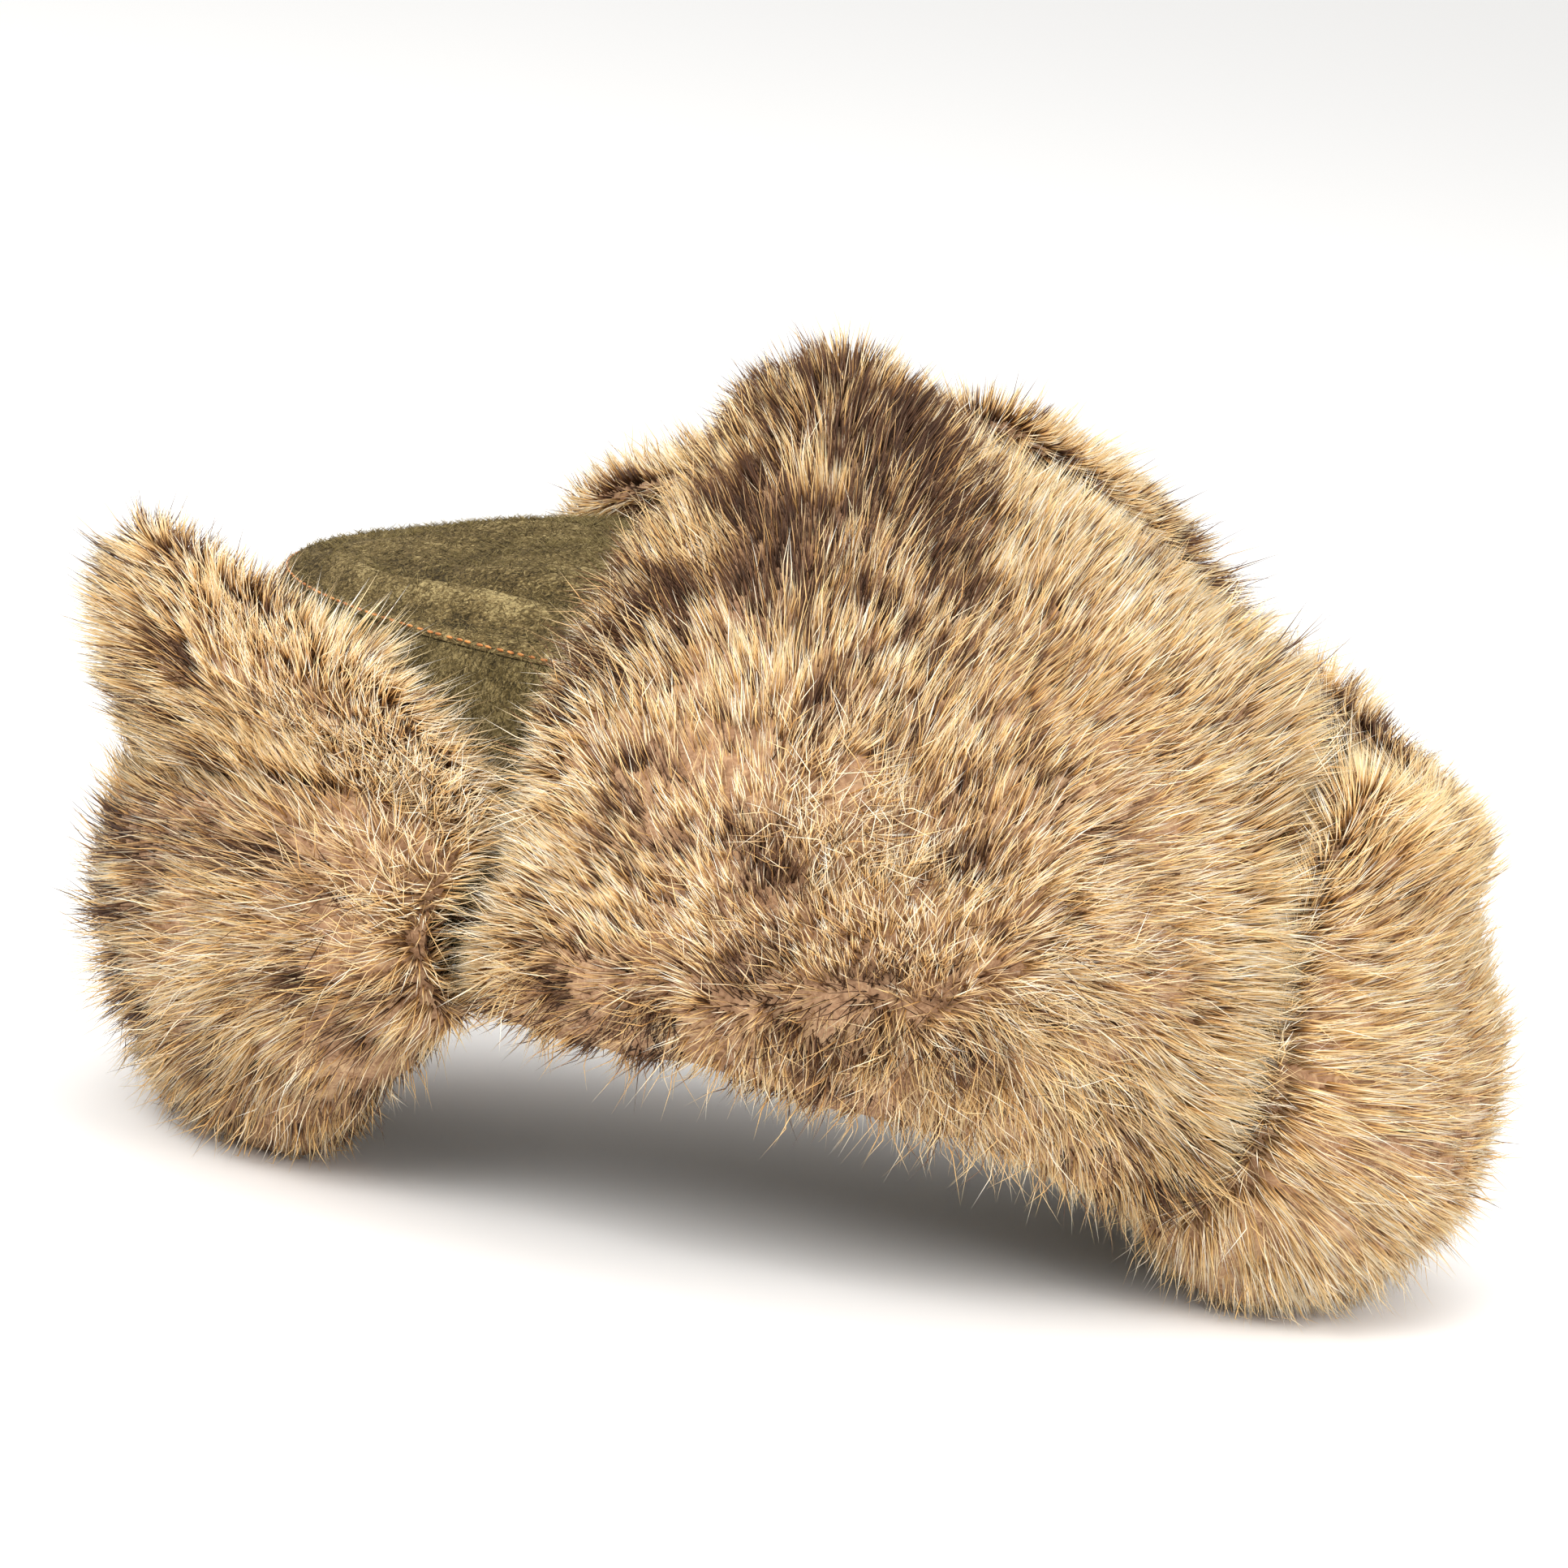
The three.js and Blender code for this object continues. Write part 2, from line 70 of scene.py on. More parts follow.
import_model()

# Heights and walls in millimetres, then the crown top's middle and a point deep inside the crown
HEM_ABOVE_FUR = 14.0
SEAM_HEIGHT = 131.5
CROWN_WALL = 2.5
TOP_MIDDLE = 38.9
CROWN_HEART = (38.5, 0.0, 90.0)


def cap_shift() -> Array:
    """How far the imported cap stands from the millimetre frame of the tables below, in millimetres."""
    top_low, top_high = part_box("crown_top")
    side_low, side_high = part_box("crown_side")
    middle_x = (top_low[0] + top_high[0]) * 500
    middle_y = (side_low[1] + side_high[1]) * 500
    return np.array([middle_x - TOP_MIDDLE, middle_y, 0.0])


SHIFT = cap_shift()


@dataclass(frozen=True)
class Table:
    """Rows of named numbers with a smooth curve through each column, over the first column."""

    names: tuple[str, ...]
    rows: tuple[tuple[float, ...], ...]

    def at(self, value: Array | float) -> dict[str, Array]:
        """Reads every column between its rows, with cubics whose slopes are the neighbours' differences.

        Args:
            value: Places along the first column.

        Returns:
            Each column's values by name.
        """
        grid = np.array(self.rows, float)
        place, value = grid[:, 0], np.asarray(value, float)
        low = np.clip(np.searchsorted(place, value, side="right") - 1, 0, len(place) - 2)
        span = (place[low + 1] - place[low])[..., None]
        slope = np.empty_like(grid)
        slope[1:-1] = (grid[2:] - grid[:-2]) / (place[2:] - place[:-2])[:, None]
        slope[0] = (grid[1] - grid[0]) / (place[1] - place[0])
        slope[-1] = (grid[-1] - grid[-2]) / (place[-1] - place[-2])
        s = (value - place[low])[..., None] / span
        curve = grid[low] + (grid[low + 1] - grid[low]) * (3 * s**2 - 2 * s**3)
        curve = curve + span * (slope[low] * (s - 2 * s**2 + s**3) + slope[low + 1] * (s**3 - s**2))
        return {name: curve[..., column] for column, name in enumerate(self.names)}


# The crown's ovals by height, then the top panel's from the seam, 0, to the crest, 1
CROWN = Table(("z", "centre", "long", "wide"), (
    (0, 67, 108, 82), (40, 58, 111, 84), (80, 49.5, 113.5, 85), (110, 43, 115, 84), (124, 40, 114.5, 81),
    (134, 38.5, 110, 76)))
CROWN_TOP = Table(("share", "z", "centre", "long", "wide"), (
    (0, 131.5, 38.9, 111.3, 77.5), (0.1, 136.1, 38.4, 106.3, 72.7), (0.28, 141.8, 38, 91, 61),
    (0.52, 146.6, 37, 67, 44), (0.78, 149.8, 37, 38, 25), (1, 150.8, 37, 0, 0)))
# How far the hem rises above its lowest place, by degrees from the front to the back
RIM = Table(("angle", "z"), (
    (0, 0), (9, 0), (17, 6), (26, 18), (36, 32), (45, 41), (56, 46), (75, 48), (96, 45), (114, 38),
    (133, 22), (148, 6), (160, 0), (180, 0)))
# A flap's sections from its hem, 0, to its tip, 1: the rise over the hem, how far the crown's oval is moved
# back and let out lengthwise and sideways, the side edges in degrees, and how far they droop
ROW_NAMES = ("at", "rise", "shift", "ahead", "aside", "from", "to", "droop")
FRONT_ROWS = Table(ROW_NAMES, (
    (0, 3, 0, 0.8, 0.8, -52, 52, 0), (0.06, 0, 0, 7, 5, -52, 52, 0),
    (0.13, 1, 0, 16, 9, -52.5, 52.5, 0), (0.24, 12, 0, 24, 12, -53, 53, 0),
    (0.4, 31, 0, 30, 15, -55, 55, 0), (0.56, 52, 0, 27, 14, -57.5, 57.5, 1),
    (0.72, 73, 0, 15, 10, -58.5, 58.5, 3), (0.86, 94, 0, 19, 10, -56, 56, 4),
    (0.94, 108, 0, 26, 11, -52, 52, 4), (1, 121, 0, 29, 10, -46, 46, 4)))
NECK_ROWS = Table(ROW_NAMES, (
    (0, 3, 0, 0.8, 0.8, 137, 223, 0), (0.06, 0, 0, 8, 5, 137, 223, 0),
    (0.13, 1, 0, 21, 10, 137.5, 222.5, 0),
    (0.24, 12, 0, 35, 18, 138.5, 221.5, 0), (0.4, 31, 0, 44, 25, 140, 220, 0),
    (0.56, 50, 0, 43, 28, 142, 218, -1), (0.72, 70, 0, 39, 30, 144, 216, -4),
    (0.86, 86, 0, 39, 32, 146.5, 213, -8), (1, 101, 0, 42, 34, 149, 209, -12)))
EAR = (
    (0, 3, 0, 0.8, 0.8, 54.5, 135.5, 0), (0.05, 0, 0, 4, 5, 54.5, 135.5, 0),
    (0.11, 4, 1, 8, 9, 55.5, 135.5, 0), (0.22, 20, 4, 9, 10, 58.5, 137, 0),
    (0.38, 43, 9, 10, 12, 61, 140, 0), (0.54, 66, 14, 10, 11, 62, 142, 0),
    (0.69, 90, 21, 9, -9, 63.5, 136, 0), (0.81, 108, 25, -2, -38, 66, 132, 0),
    (0.91, 123, 27, -12, -62, 68, 124, 0), (1, 136, 27, -22, -76, 70, 117, 0))
EAR_ROWS = Table(ROW_NAMES, EAR)
RIGHT_EAR_LEAN = 9.0
RIGHT_EAR_ROWS = Table(ROW_NAMES, tuple(
    row[:4] + (row[4] - RIGHT_EAR_LEAN * row[0] ** 4,) + row[5:] for row in EAR))
# How far up its sections a flap reaches, from its first side edge to its other one
TOP_NAMES = ("across", "reach")
FRONT_TOP = Table(TOP_NAMES, ((0, 0.76), (0.25, 0.8), (0.45, 0.92), (0.6, 1), (0.8, 1.01), (1, 0.97)))
NECK_TOP = Table(TOP_NAMES, ((0, 1), (1, 1)))
LEFT_EAR_TOP = Table(TOP_NAMES, (
    (0, 0.93), (0.16, 1), (0.32, 0.97), (0.46, 0.9), (0.65, 0.855), (0.84, 0.78), (1, 0.7)))
RIGHT_EAR_TOP = Table(TOP_NAMES, (
    (0, 0.65), (0.16, 0.75), (0.36, 0.87), (0.6, 0.93), (0.8, 0.84), (0.92, 0.72), (1, 0.64)))

COMB_BLUR = 4.0
PARTING_LIFT = 18.0
COMB_NAMES = ("across", "up", "turn", "lie", "dark", "gold", "loose")
# Comb marks, set against the photograph: turn and lie are degrees, and the last three are shares
LEFT_EAR_COMB = (
    (0.01, 0.62, -57, 62, 0.55, 0.5, 0.7), (0, 0.47, -54, 62, 0.3, 0.25, 0.6),
    (0.07, 0.28, -42, 60, 0.35, 0.35, 0.3), (0.08, 0.12, -111, 60, 0.45, 0.65, 0.7),
    (0.1, 0.47, -21, 62, 0.45, 0.55, 0.15), (0.16, 0.23, -27, 60, 0.5, 0.5, 0.15),
    (0.04, 0.89, -12, 52, 0.94, 0.95, 0.2), (0.05, 0.74, -21, 56, 0.89, 0.9, 0.25),
    (0.18, 0.6, -33, 62, 0.88, 0.75, 0.1), (0.08, 0.97, 5, 46, 1.04, 0.9, 0.15),
    (0.25, 0.78, -24, 56, 1.13, 0.7, 0.1), (0.3, 0.62, -15, 60, 0.98, 0.75, 0.1),
    (0.24, 0.43, -33, 62, 0.63, 0.5, 0.1), (0.33, 0.5, -3, 50, 0.28, 0.1, 0.9),
    (0.37, 0.46, 8, 50, 0.28, 0.1, 0.9), (0.3, 0.23, -45, 58, 0.45, 0.5, 0.2),
    (0.42, 0.29, -42, 56, 0.28, 0.5, 0.3), (0.48, 0.17, -174, 60, 0.56, 0.6, 0.7),
    (0.25, 0.1, -156, 60, 0.68, 0.65, 0.8), (0.42, 0.08, 171, 60, 0.56, 0.65, 0.8),
    (0.4, 0.78, -20, 54, 0.85, 0.7, 0.1), (0.51, 0.51, -15, 58, 0.32, 0.5, 0.3),
    (0.55, 0.71, 40, 62, 0.33, 0.95, 0.15), (0.56, 0.38, -3, 56, 0.2, 0.6, 0.5),
    (0.38, 0.94, -10, 42, 1.13, 0.7, 0.1), (0.62, 0.88, 18, 50, 0.38, 0.5, 0.1),
    (0.73, 0.88, 5, 54, 0.33, 0.55, 0.1), (0.85, 0.86, 5, 58, 0.33, 0.6, 0.1),
    (0.71, 0.7, 36, 62, 0.24, 0.6, 0.1), (0.84, 0.67, 39, 64, 0.14, 0.7, 0.1),
    (0.72, 0.57, 51, 64, 0.24, 0.5, 0.25), (0.67, 0.37, 54, 60, 0.19, 0.3, 0.6),
    (0.63, 0.18, 156, 58, 0.51, 0.65, 0.8), (0.78, 0.24, 123, 60, 0.33, 0.5, 0.6),
    (0.88, 0.53, 51, 60, 0.09, 0.6, 0.2), (0.91, 0.82, 10, 58, 0.38, 0.65, 0.1),
    (0.78, 0.12, 126, 60, 0.51, 0.75, 0.6), (0.97, 0.35, 60, 56, 0.05, 0.55, 0.2),
    (0.95, 0.15, 110, 56, 0.38, 0.95, 0.3), (0.5, 0.33, -30, 52, 0.26, 0.3, 0.5),
    (0.66, 0.28, 90, 50, 0.21, 0.4, 0.8), (0.5, 0.64, 4, 58, 0.22, 0.6, 0.1),
    (0.53, 0.84, 2, 52, 0.35, 0.7, 0.1))
RIGHT_EAR_COMB = (
    (0.03, 0.5, -50, 62, 0.4, 0.4, 0.5), (0.05, 0.25, -45, 60, 0.4, 0.4, 0.4),
    (0.1, 0.1, -120, 60, 0.45, 0.4, 0.6), (0.06, 0.8, -15, 56, 0.5, 0.5, 0.3),
    (0.2, 0.6, -28, 62, 0.55, 0.6, 0.1), (0.25, 0.35, -38, 62, 0.45, 0.6, 0.15),
    (0.3, 0.9, -15, 48, 0.5, 0.6, 0.1), (0.45, 0.7, -5, 60, 0.5, 0.7, 0.1),
    (0.45, 0.45, 10, 58, 0.3, 0.4, 0.4), (0.5, 0.25, -25, 58, 0.5, 0.6, 0.4),
    (0.35, 0.1, -170, 60, 0.5, 0.4, 0.7), (0.6, 0.1, 160, 60, 0.5, 0.45, 0.7),
    (0.6, 0.92, 10, 48, 0.4, 0.75, 0.1), (0.7, 0.65, 35, 62, 0.4, 0.85, 0.1),
    (0.7, 0.4, 50, 62, 0.4, 0.7, 0.2), (0.85, 0.8, 15, 56, 0.45, 0.8, 0.1),
    (0.88, 0.5, 50, 62, 0.35, 0.8, 0.15), (0.9, 0.2, 105, 60, 0.4, 0.5, 0.5))
FRONT_COMB = (
    (0.69, 0.94, -34, 34, 0.62, 0.7, 0.15), (0.92, 0.97, 6, 50, 0.32, 0.55, 0.45),
    (0.7, 0.84, -27, 46, 0.57, 0.9, 0.1), (0.82, 0.79, 0, 60, 0.32, 1, 0.15),
    (0.93, 0.85, 12, 58, 0.17, 0.4, 0.65), (0.98, 0.68, 20, 56, 0.08, 0.25, 0.75),
    (0.7, 0.66, -60, 60, 0.63, 0.7, 0.15), (0.68, 0.53, -93, 50, 0.78, 0.6, 0.1),
    (0.84, 0.51, -72, 62, 0.38, 0.85, 0.2), (0.95, 0.52, -50, 58, 0.18, 0.45, 1),
    (0.76, 0.38, -76, 62, 0.13, 0.3, 0.4), (0.92, 0.32, -78, 60, 0.38, 0.7, 0.5),
    (0.78, 0.15, -105, 60, 0.38, 0.7, 0.3), (0.9, 0.13, -108, 58, 0.43, 0.6, 0.4),
    (0.58, 0.25, -110, 60, 0.43, 0.8, 0.2), (0.5, 0.95, -12, 34, 0.73, 0.7, 0.1),
    (0.5, 0.8, -25, 48, 0.68, 0.9, 0.1), (0.5, 0.5, -60, 62, 0.48, 0.8, 0.1),
    (0.5, 0.1, -150, 60, 0.43, 0.7, 0.3), (0.28, 0.93, 12, 54, 0.63, 0.7, 0.1),
    (0.3, 0.72, 15, 60, 0.58, 0.9, 0.1), (0.3, 0.5, 5, 62, 0.48, 0.85, 0.1),
    (0.3, 0.28, -170, 60, 0.43, 0.8, 0.2), (0.25, 0.1, 170, 60, 0.43, 0.7, 0.3),
    (0.1, 0.9, 8, 56, 0.43, 0.5, 0.4), (0.1, 0.66, 45, 60, 0.38, 0.6, 0.4),
    (0.1, 0.42, 75, 62, 0.38, 0.8, 0.2), (0.1, 0.15, 120, 60, 0.38, 0.6, 0.4))
NECK_COMB = (
    (0, 0.97, -20, 56, 0.14, 0.85, 0.4), (0.01, 0.88, 5, 60, 0.14, 0.85, 0.1),
    (0.08, 0.99, 27, 56, 0.14, 0.85, 0.1), (0.1, 0.85, 22, 60, 0.3, 0.85, 0.1),
    (0.3, 0.97, 10, 52, 0.54, 1, 0.1), (0.17, 0.63, 70, 62, 0.08, 0.75, 0.05),
    (0.35, 0.7, 60, 62, 0.11, 0.75, 0.05), (0.02, 0.7, 57, 62, 0.11, 0.65, 0.1),
    (0.06, 0.49, 75, 62, 0.08, 0.7, 0.1), (0.3, 0.45, 85, 62, 0.15, 0.7, 0.1),
    (0.03, 0.33, 92, 60, 0.11, 0.65, 0.25), (0.13, 0.33, 99, 60, 0.15, 0.65, 0.15),
    (0.09, 0.19, 114, 60, 0.18, 0.5, 0.15), (0.3, 0.2, 130, 58, 0.25, 0.45, 0.1),
    (0.04, 0.12, 122, 58, 0.21, 0.4, 0.2), (0.55, 0.93, 0, 52, 0.54, 1, 0.1),
    (0.55, 0.7, 45, 62, 0.18, 0.75, 0.05), (0.55, 0.45, 95, 62, 0.22, 0.65, 0.1),
    (0.55, 0.15, 165, 58, 0.21, 0.4, 0.2), (0.8, 0.93, -5, 54, 0.54, 0.95, 0.1),
    (0.8, 0.68, 20, 60, 0.18, 0.65, 0.1), (0.8, 0.42, 80, 62, 0.22, 0.6, 0.1),
    (0.85, 0.2, -170, 58, 0.18, 0.3, 0.2), (0.97, 0.8, -20, 58, 0.18, 0.4, 0.2),
    (0.97, 0.4, -60, 60, 0.18, 0.4, 0.2), (0.96, 0.12, -120, 58, 0.14, 0.3, 0.3))


def oval_point(section: dict[str, Array], angle: Array, height: Array) -> Array:
    """Points round an oval: the centre less long times the cosine, and minus wide times the sine.

    Args:
        section: The oval's centre, long and wide.
        angle: Degrees round it, 0 in front and 90 on the wearer's left.
        height: Heights of the points.

    Returns:
        The points, one row of three numbers each.
    """
    turn = np.radians(angle)
    along = section["centre"] - section["long"] * np.cos(turn)
    return np.stack(np.broadcast_arrays(along, -section["wide"] * np.sin(turn), height), -1)


def hem_height(angle: Array) -> Array:
    """The height of the crown's arched hem at an angle round it."""
    turn = np.abs((angle + 540) % 360 - 180)
    return HEM_ABOVE_FUR + np.maximum(0, RIM.at(turn)["z"])


def unit(vectors: Array) -> Array:
    """Vectors of length one along the last axis."""
    return vectors / np.maximum(np.linalg.norm(vectors, axis=-1, keepdims=True), 1e-9)


@dataclass(frozen=True)
class Flap:
    """The sheet of one turned-up flap, which all its cloth, skin and hair stand on."""

    name: str
    rows: Table
    top: Table
    side: int
    middle: float
    comb: tuple[tuple[float, ...], ...]
    tuck: float = 0.0
    overlap: float = 0.0

    def sheet(self, across: Array, up: Array) -> Array:
        """The sheet's points: an oval round the crown, let out by each row's amounts.

        Args:
            across: Places from the flap's first side edge, 0, to its other one, 1.
            up: Places from the hem, 0, to the top edge, 1.

        Returns:
            Points in millimetres.
        """
        at = up * self.top.at(across)["reach"]
        row = self.rows.at(at)
        angle = row["from"] + (row["to"] - row["from"]) * across
        hem = hem_height(angle) * (1 - at) + hem_height(np.full_like(angle, self.middle)) * at
        height = hem + row["rise"] - row["droop"] * (2 * across - 1) ** 2
        oval = CROWN.at(np.clip(height, 0, 124))
        tuck = self.tuck * np.sin(np.pi * np.minimum(1, at)) * (2 * across - 1) ** 4
        section = {
            "centre": oval["centre"] + row["shift"],
            "long": oval["long"] + row["ahead"] - tuck,
            "wide": oval["wide"] + row["aside"] - tuck,
        }
        return oval_point(section, angle * self.side, height)

    def axes(self, across: Array, up: Array) -> tuple[Array, Array, Array]:
        """The outward, upward and sideways directions of the sheet, from its differences.

        Args:
            across: Places across the flap.
            up: Places up the flap.

        Returns:
            Outward, upward and sideways unit vectors.
        """
        step = 0.004
        sideways = unit(self.sheet(across + step, up) - self.sheet(across - step, up))
        upward = self.sheet(across, up + step) - self.sheet(across, up - step)
        outward = unit(np.cross(sideways, upward)) * self.side
        upward = unit(upward - sideways * np.sum(upward * sideways, -1, keepdims=True))
        return outward, upward, sideways

    def stretch(self, across: Array, up: Array) -> tuple[Array, Array]:
        """Millimetres of cloth for a whole step of across and of up at each place."""
        step = 0.01
        wide = self.sheet(across + step, up) - self.sheet(across - step, up)
        tall = self.sheet(across, up + step) - self.sheet(across, up - step)
        return np.linalg.norm(wide, axis=-1) / (2 * step), np.linalg.norm(tall, axis=-1) / (2 * step)

    def size(self) -> tuple[float, float]:
        """The flap's width and height in millimetres, as measured at its middle."""
        wide, tall = self.stretch(np.array(0.5), np.array(0.5))
        return float(wide), float(tall)

    def combing(self, across: Array, up: Array) -> dict[str, Array]:
        """How the hair lies: the comb marks, weighted by one over their distance to the third power.

        Args:
            across: Places across the flap.
            up: Places up the flap.

        Returns:
            The turn and lie in degrees, and the shares of dark, golden and loose hair.
        """
        marks = np.array(self.comb)
        wide, tall = self.size()
        away_x = (across[:, None] - marks[None, :, 0]) * wide
        away_y = (up[:, None] - marks[None, :, 1]) * tall
        weight = (away_x**2 + away_y**2 + COMB_BLUR**2) ** -1.5
        weight /= weight.sum(1, keepdims=True)
        turn = np.radians(marks[:, 2])
        blend = {name: weight @ marks[:, column] for column, name in enumerate(COMB_NAMES) if column > 2}
        sine, cosine = weight @ np.sin(turn), weight @ np.cos(turn)
        blend["turn"] = np.degrees(np.arctan2(sine, cosine))
        parted = np.clip(1 - 2 * np.hypot(sine, cosine), 0, 1)
        blend["loose"] = np.clip(blend["loose"] + parted, 0, 1)
        blend["lie"] = blend["lie"] - PARTING_LIFT * parted
        return blend


LEFT_EAR = Flap("left_ear", EAR_ROWS, LEFT_EAR_TOP, 1, 90, LEFT_EAR_COMB, 0, 0.8)
RIGHT_EAR = Flap("right_ear", RIGHT_EAR_ROWS, RIGHT_EAR_TOP, -1, 90, RIGHT_EAR_COMB, 0, 0.8)
FRONT = Flap("front", FRONT_ROWS, FRONT_TOP, 1, 0, FRONT_COMB)
NECK = Flap("neck", NECK_ROWS, NECK_TOP, 1, 180, NECK_COMB, 12, 0.7)


def linear(code: str) -> tuple[float, float, float, float]:
    """An sRGB hex colour as linear red, green, blue and alpha."""
    parts = [int(code[index:index + 2], 16) / 255 for index in (1, 3, 5)]
    red, green, blue = (c / 12.92 if c <= 0.04045 else ((c + 0.055) / 1.055) ** 2.4 for c in parts)
    return red, green, blue, 1.0


def add_node(tree: bpy.types.NodeTree, kind: str, settings: dict, links: dict) -> bpy.types.Node:
    """Adds one node.

    Args:
        tree: The node tree.
        kind: The node's type, without its ShaderNode prefix.
        settings: Node properties by name, and socket values by socket name or number.
        links: Output sockets by the name or number of the input they feed.

    Returns:
        The node.
    """
    node = tree.nodes.new("ShaderNode" + kind)
    for name, value in settings.items():
        if isinstance(name, str) and hasattr(node, name):
            setattr(node, name, value)
        else:
            node.inputs[name].default_value = value
    for name, output in links.items():
        tree.links.new(output, node.inputs[name])
    return node


def blank_material(name: str) -> tuple[bpy.types.Material, bpy.types.NodeTree]:
    """A new material and its empty node tree."""
    material = bpy.data.materials.new(name)
    material.use_nodes = True
    material.node_tree.nodes.clear()
    return material, material.node_tree


def add_surface(tree: bpy.types.NodeTree, settings: dict, colour: bpy.types.NodeSocket,
                normal: bpy.types.NodeSocket | None = None) -> None:
    """Adds the shader and the output, fed by a colour and, where there is a bump, its normal."""
    links = {"Base Color": colour} if normal is None else {"Base Color": colour, "Normal": normal}
    shader = add_node(tree, "BsdfPrincipled", settings, links)
    add_node(tree, "OutputMaterial", {}, {0: shader.outputs[0]})


def set_ramp(node: bpy.types.Node, stops: tuple[tuple[float, str], ...]) -> None:
    """Gives a colour ramp its stops.

    Args:
        node: The colour ramp node.
        stops: Places and sRGB hex colours.
    """
    ramp = node.color_ramp
    while len(ramp.elements) > 2:
        ramp.elements.remove(ramp.elements[-1])
    for index, (place, code) in enumerate(stops):
        element = ramp.elements[index] if index < 2 else ramp.elements.new(place)
        element.position, element.color = place, linear(code)


@dataclass(frozen=True)
class HairFinish:
    """Agouti rabbit hair: a brown root, a cream or golden band and sometimes a dark tip.

    The felt's loose fibres use it too, with four pairs of olives.
    """

    name: str = "rabbit_hair"
    gold: tuple[tuple[float, str], ...] = (
        (0.0, "#4A2F1B"), (0.22, "#7F5630"), (0.42, "#C6965A"), (0.68, "#EBC384"), (1.0, "#F6DDAB"))
    cream: tuple[tuple[float, str], ...] = (
        (0.0, "#523622"), (0.22, "#8C6440"), (0.42, "#D6B587"), (0.68, "#FAE8C6"), (1.0, "#FFF7E6"))
    brown: tuple[tuple[float, str], ...] = (
        (0.0, "#3A2415"), (0.3, "#4A2F1C"), (0.6, "#64412A"), (0.85, "#7C5636"), (1.0, "#4A3020"))
    down: tuple[tuple[float, str], ...] = (
        (0.0, "#78563A"), (0.3, "#B28A5C"), (0.7, "#E0BC88"), (1.0, "#F3DAAE"))
    roughness: float = 0.5

    def make(self) -> bpy.types.Material:
        """Colours each hair along its map: u runs from root to tip, v picks one of four kinds and its tone.

        Returns:
            The material.
        """
        material, tree = blank_material(self.name)
        place = add_node(tree, "UVMap", {"uv_map": HAIR_UV}, {})
        split = add_node(tree, "SeparateXYZ", {}, {0: place.outputs[0]})
        fourths = add_node(tree, "Math", {"operation": "MULTIPLY", 1: 4.0}, {0: split.outputs[1]})
        fourths = fourths.outputs[0]
        tone = add_node(tree, "Math", {"operation": "FRACT"}, {0: fourths}).outputs[0]
        delay = add_node(tree, "MapRange", {3: 0.3, 4: -0.4}, {0: tone}).outputs[0]
        along = add_node(tree, "Math", {"operation": "ADD"}, {0: split.outputs[0], 1: delay}).outputs[0]
        colour = None
        for index, stops in enumerate((self.gold, self.cream, self.brown, self.down)):
            ramp = add_node(tree, "ValToRGB", {}, {0: along})
            set_ramp(ramp, stops)
            if colour is None:
                colour = ramp.outputs[0]
                continue
            beyond = add_node(tree, "Math", {"operation": "GREATER_THAN", 1: float(index)}, {0: fourths})
            mixed = add_node(tree, "Mix", {"data_type": "RGBA"},
                             {0: beyond.outputs[0], 6: colour, 7: ramp.outputs[0]})
            colour = mixed.outputs[2]
        add_surface(tree, {"Roughness": self.roughness, "Specular IOR Level": 0.3}, colour)
        return material


@dataclass(frozen=True)
class FeltFinish:
    """Brushed wool felt: fulled cloth whose raised fibres lie one way in streaks of two olives."""

    name: str
    streak: tuple[float, float, float]
    dark: str = "#3A301A"
    middle: str = "#7C6840"
    light: str = "#C8B27C"
    bump: float = 1.0
    # How far the fold heights shift the colour: painted light on raised folds and painted shade in their
    # hollows
    fold_shading: float = 0.0

    def make(self) -> bpy.types.Material:
        """Fibre streaks are noise stretched along the brushing, over slow patches; raised folds are painted
        paler and their hollows darker, as painted light and shade.

        The streaks are 0.7 to 1.5 mm wide, coarser than real wool fibres, so that they show.

        Returns:
            The material.
        """
        material, tree = blank_material(self.name)
        place = add_node(tree, "TexCoord", {}, {}).outputs["Object"]
        along = add_node(tree, "Mapping", {"Scale": self.streak}, {0: place}).outputs[0]
        fibre = add_node(tree, "TexNoise", {
            "Scale": 1.0, "Detail": 5.0, "Roughness": 0.7, "Distortion": 1.2}, {0: along})
        patch = add_node(tree, "TexNoise", {"Scale": 60.0, "Detail": 3.0}, {0: place})
        both = add_node(
            tree, "Mix", {"data_type": "FLOAT", 0: 0.3}, {2: fibre.outputs[0], 3: patch.outputs[0]})
        # The top panel's fold heights lighten the colour on ridges and darken it in hollows: painted light
        # and shade
        rise = add_node(tree, "Attribute", {"attribute_name": FOLD}, {}).outputs["Fac"]
        fold_shaded = add_node(
            tree, "Math", {"operation": "MULTIPLY_ADD", 1: self.fold_shading}, {0: rise, 2: both.outputs[0]})
        ramp = add_node(tree, "ValToRGB", {}, {0: fold_shaded.outputs[0]})
        set_ramp(ramp, ((0.39, self.dark), (0.5, self.middle), (0.61, self.light)))
        lift = add_node(
            tree, "Bump", {"Strength": self.bump, "Distance": 0.0012}, {"Height": fibre.outputs[0]})
        add_surface(tree, {
            "Roughness": 0.95, "Specular IOR Level": 0.1, "Sheen Weight": 0.03, "Sheen Roughness": 0.6,
        }, ramp.outputs[0], lift.outputs[0])
        return material


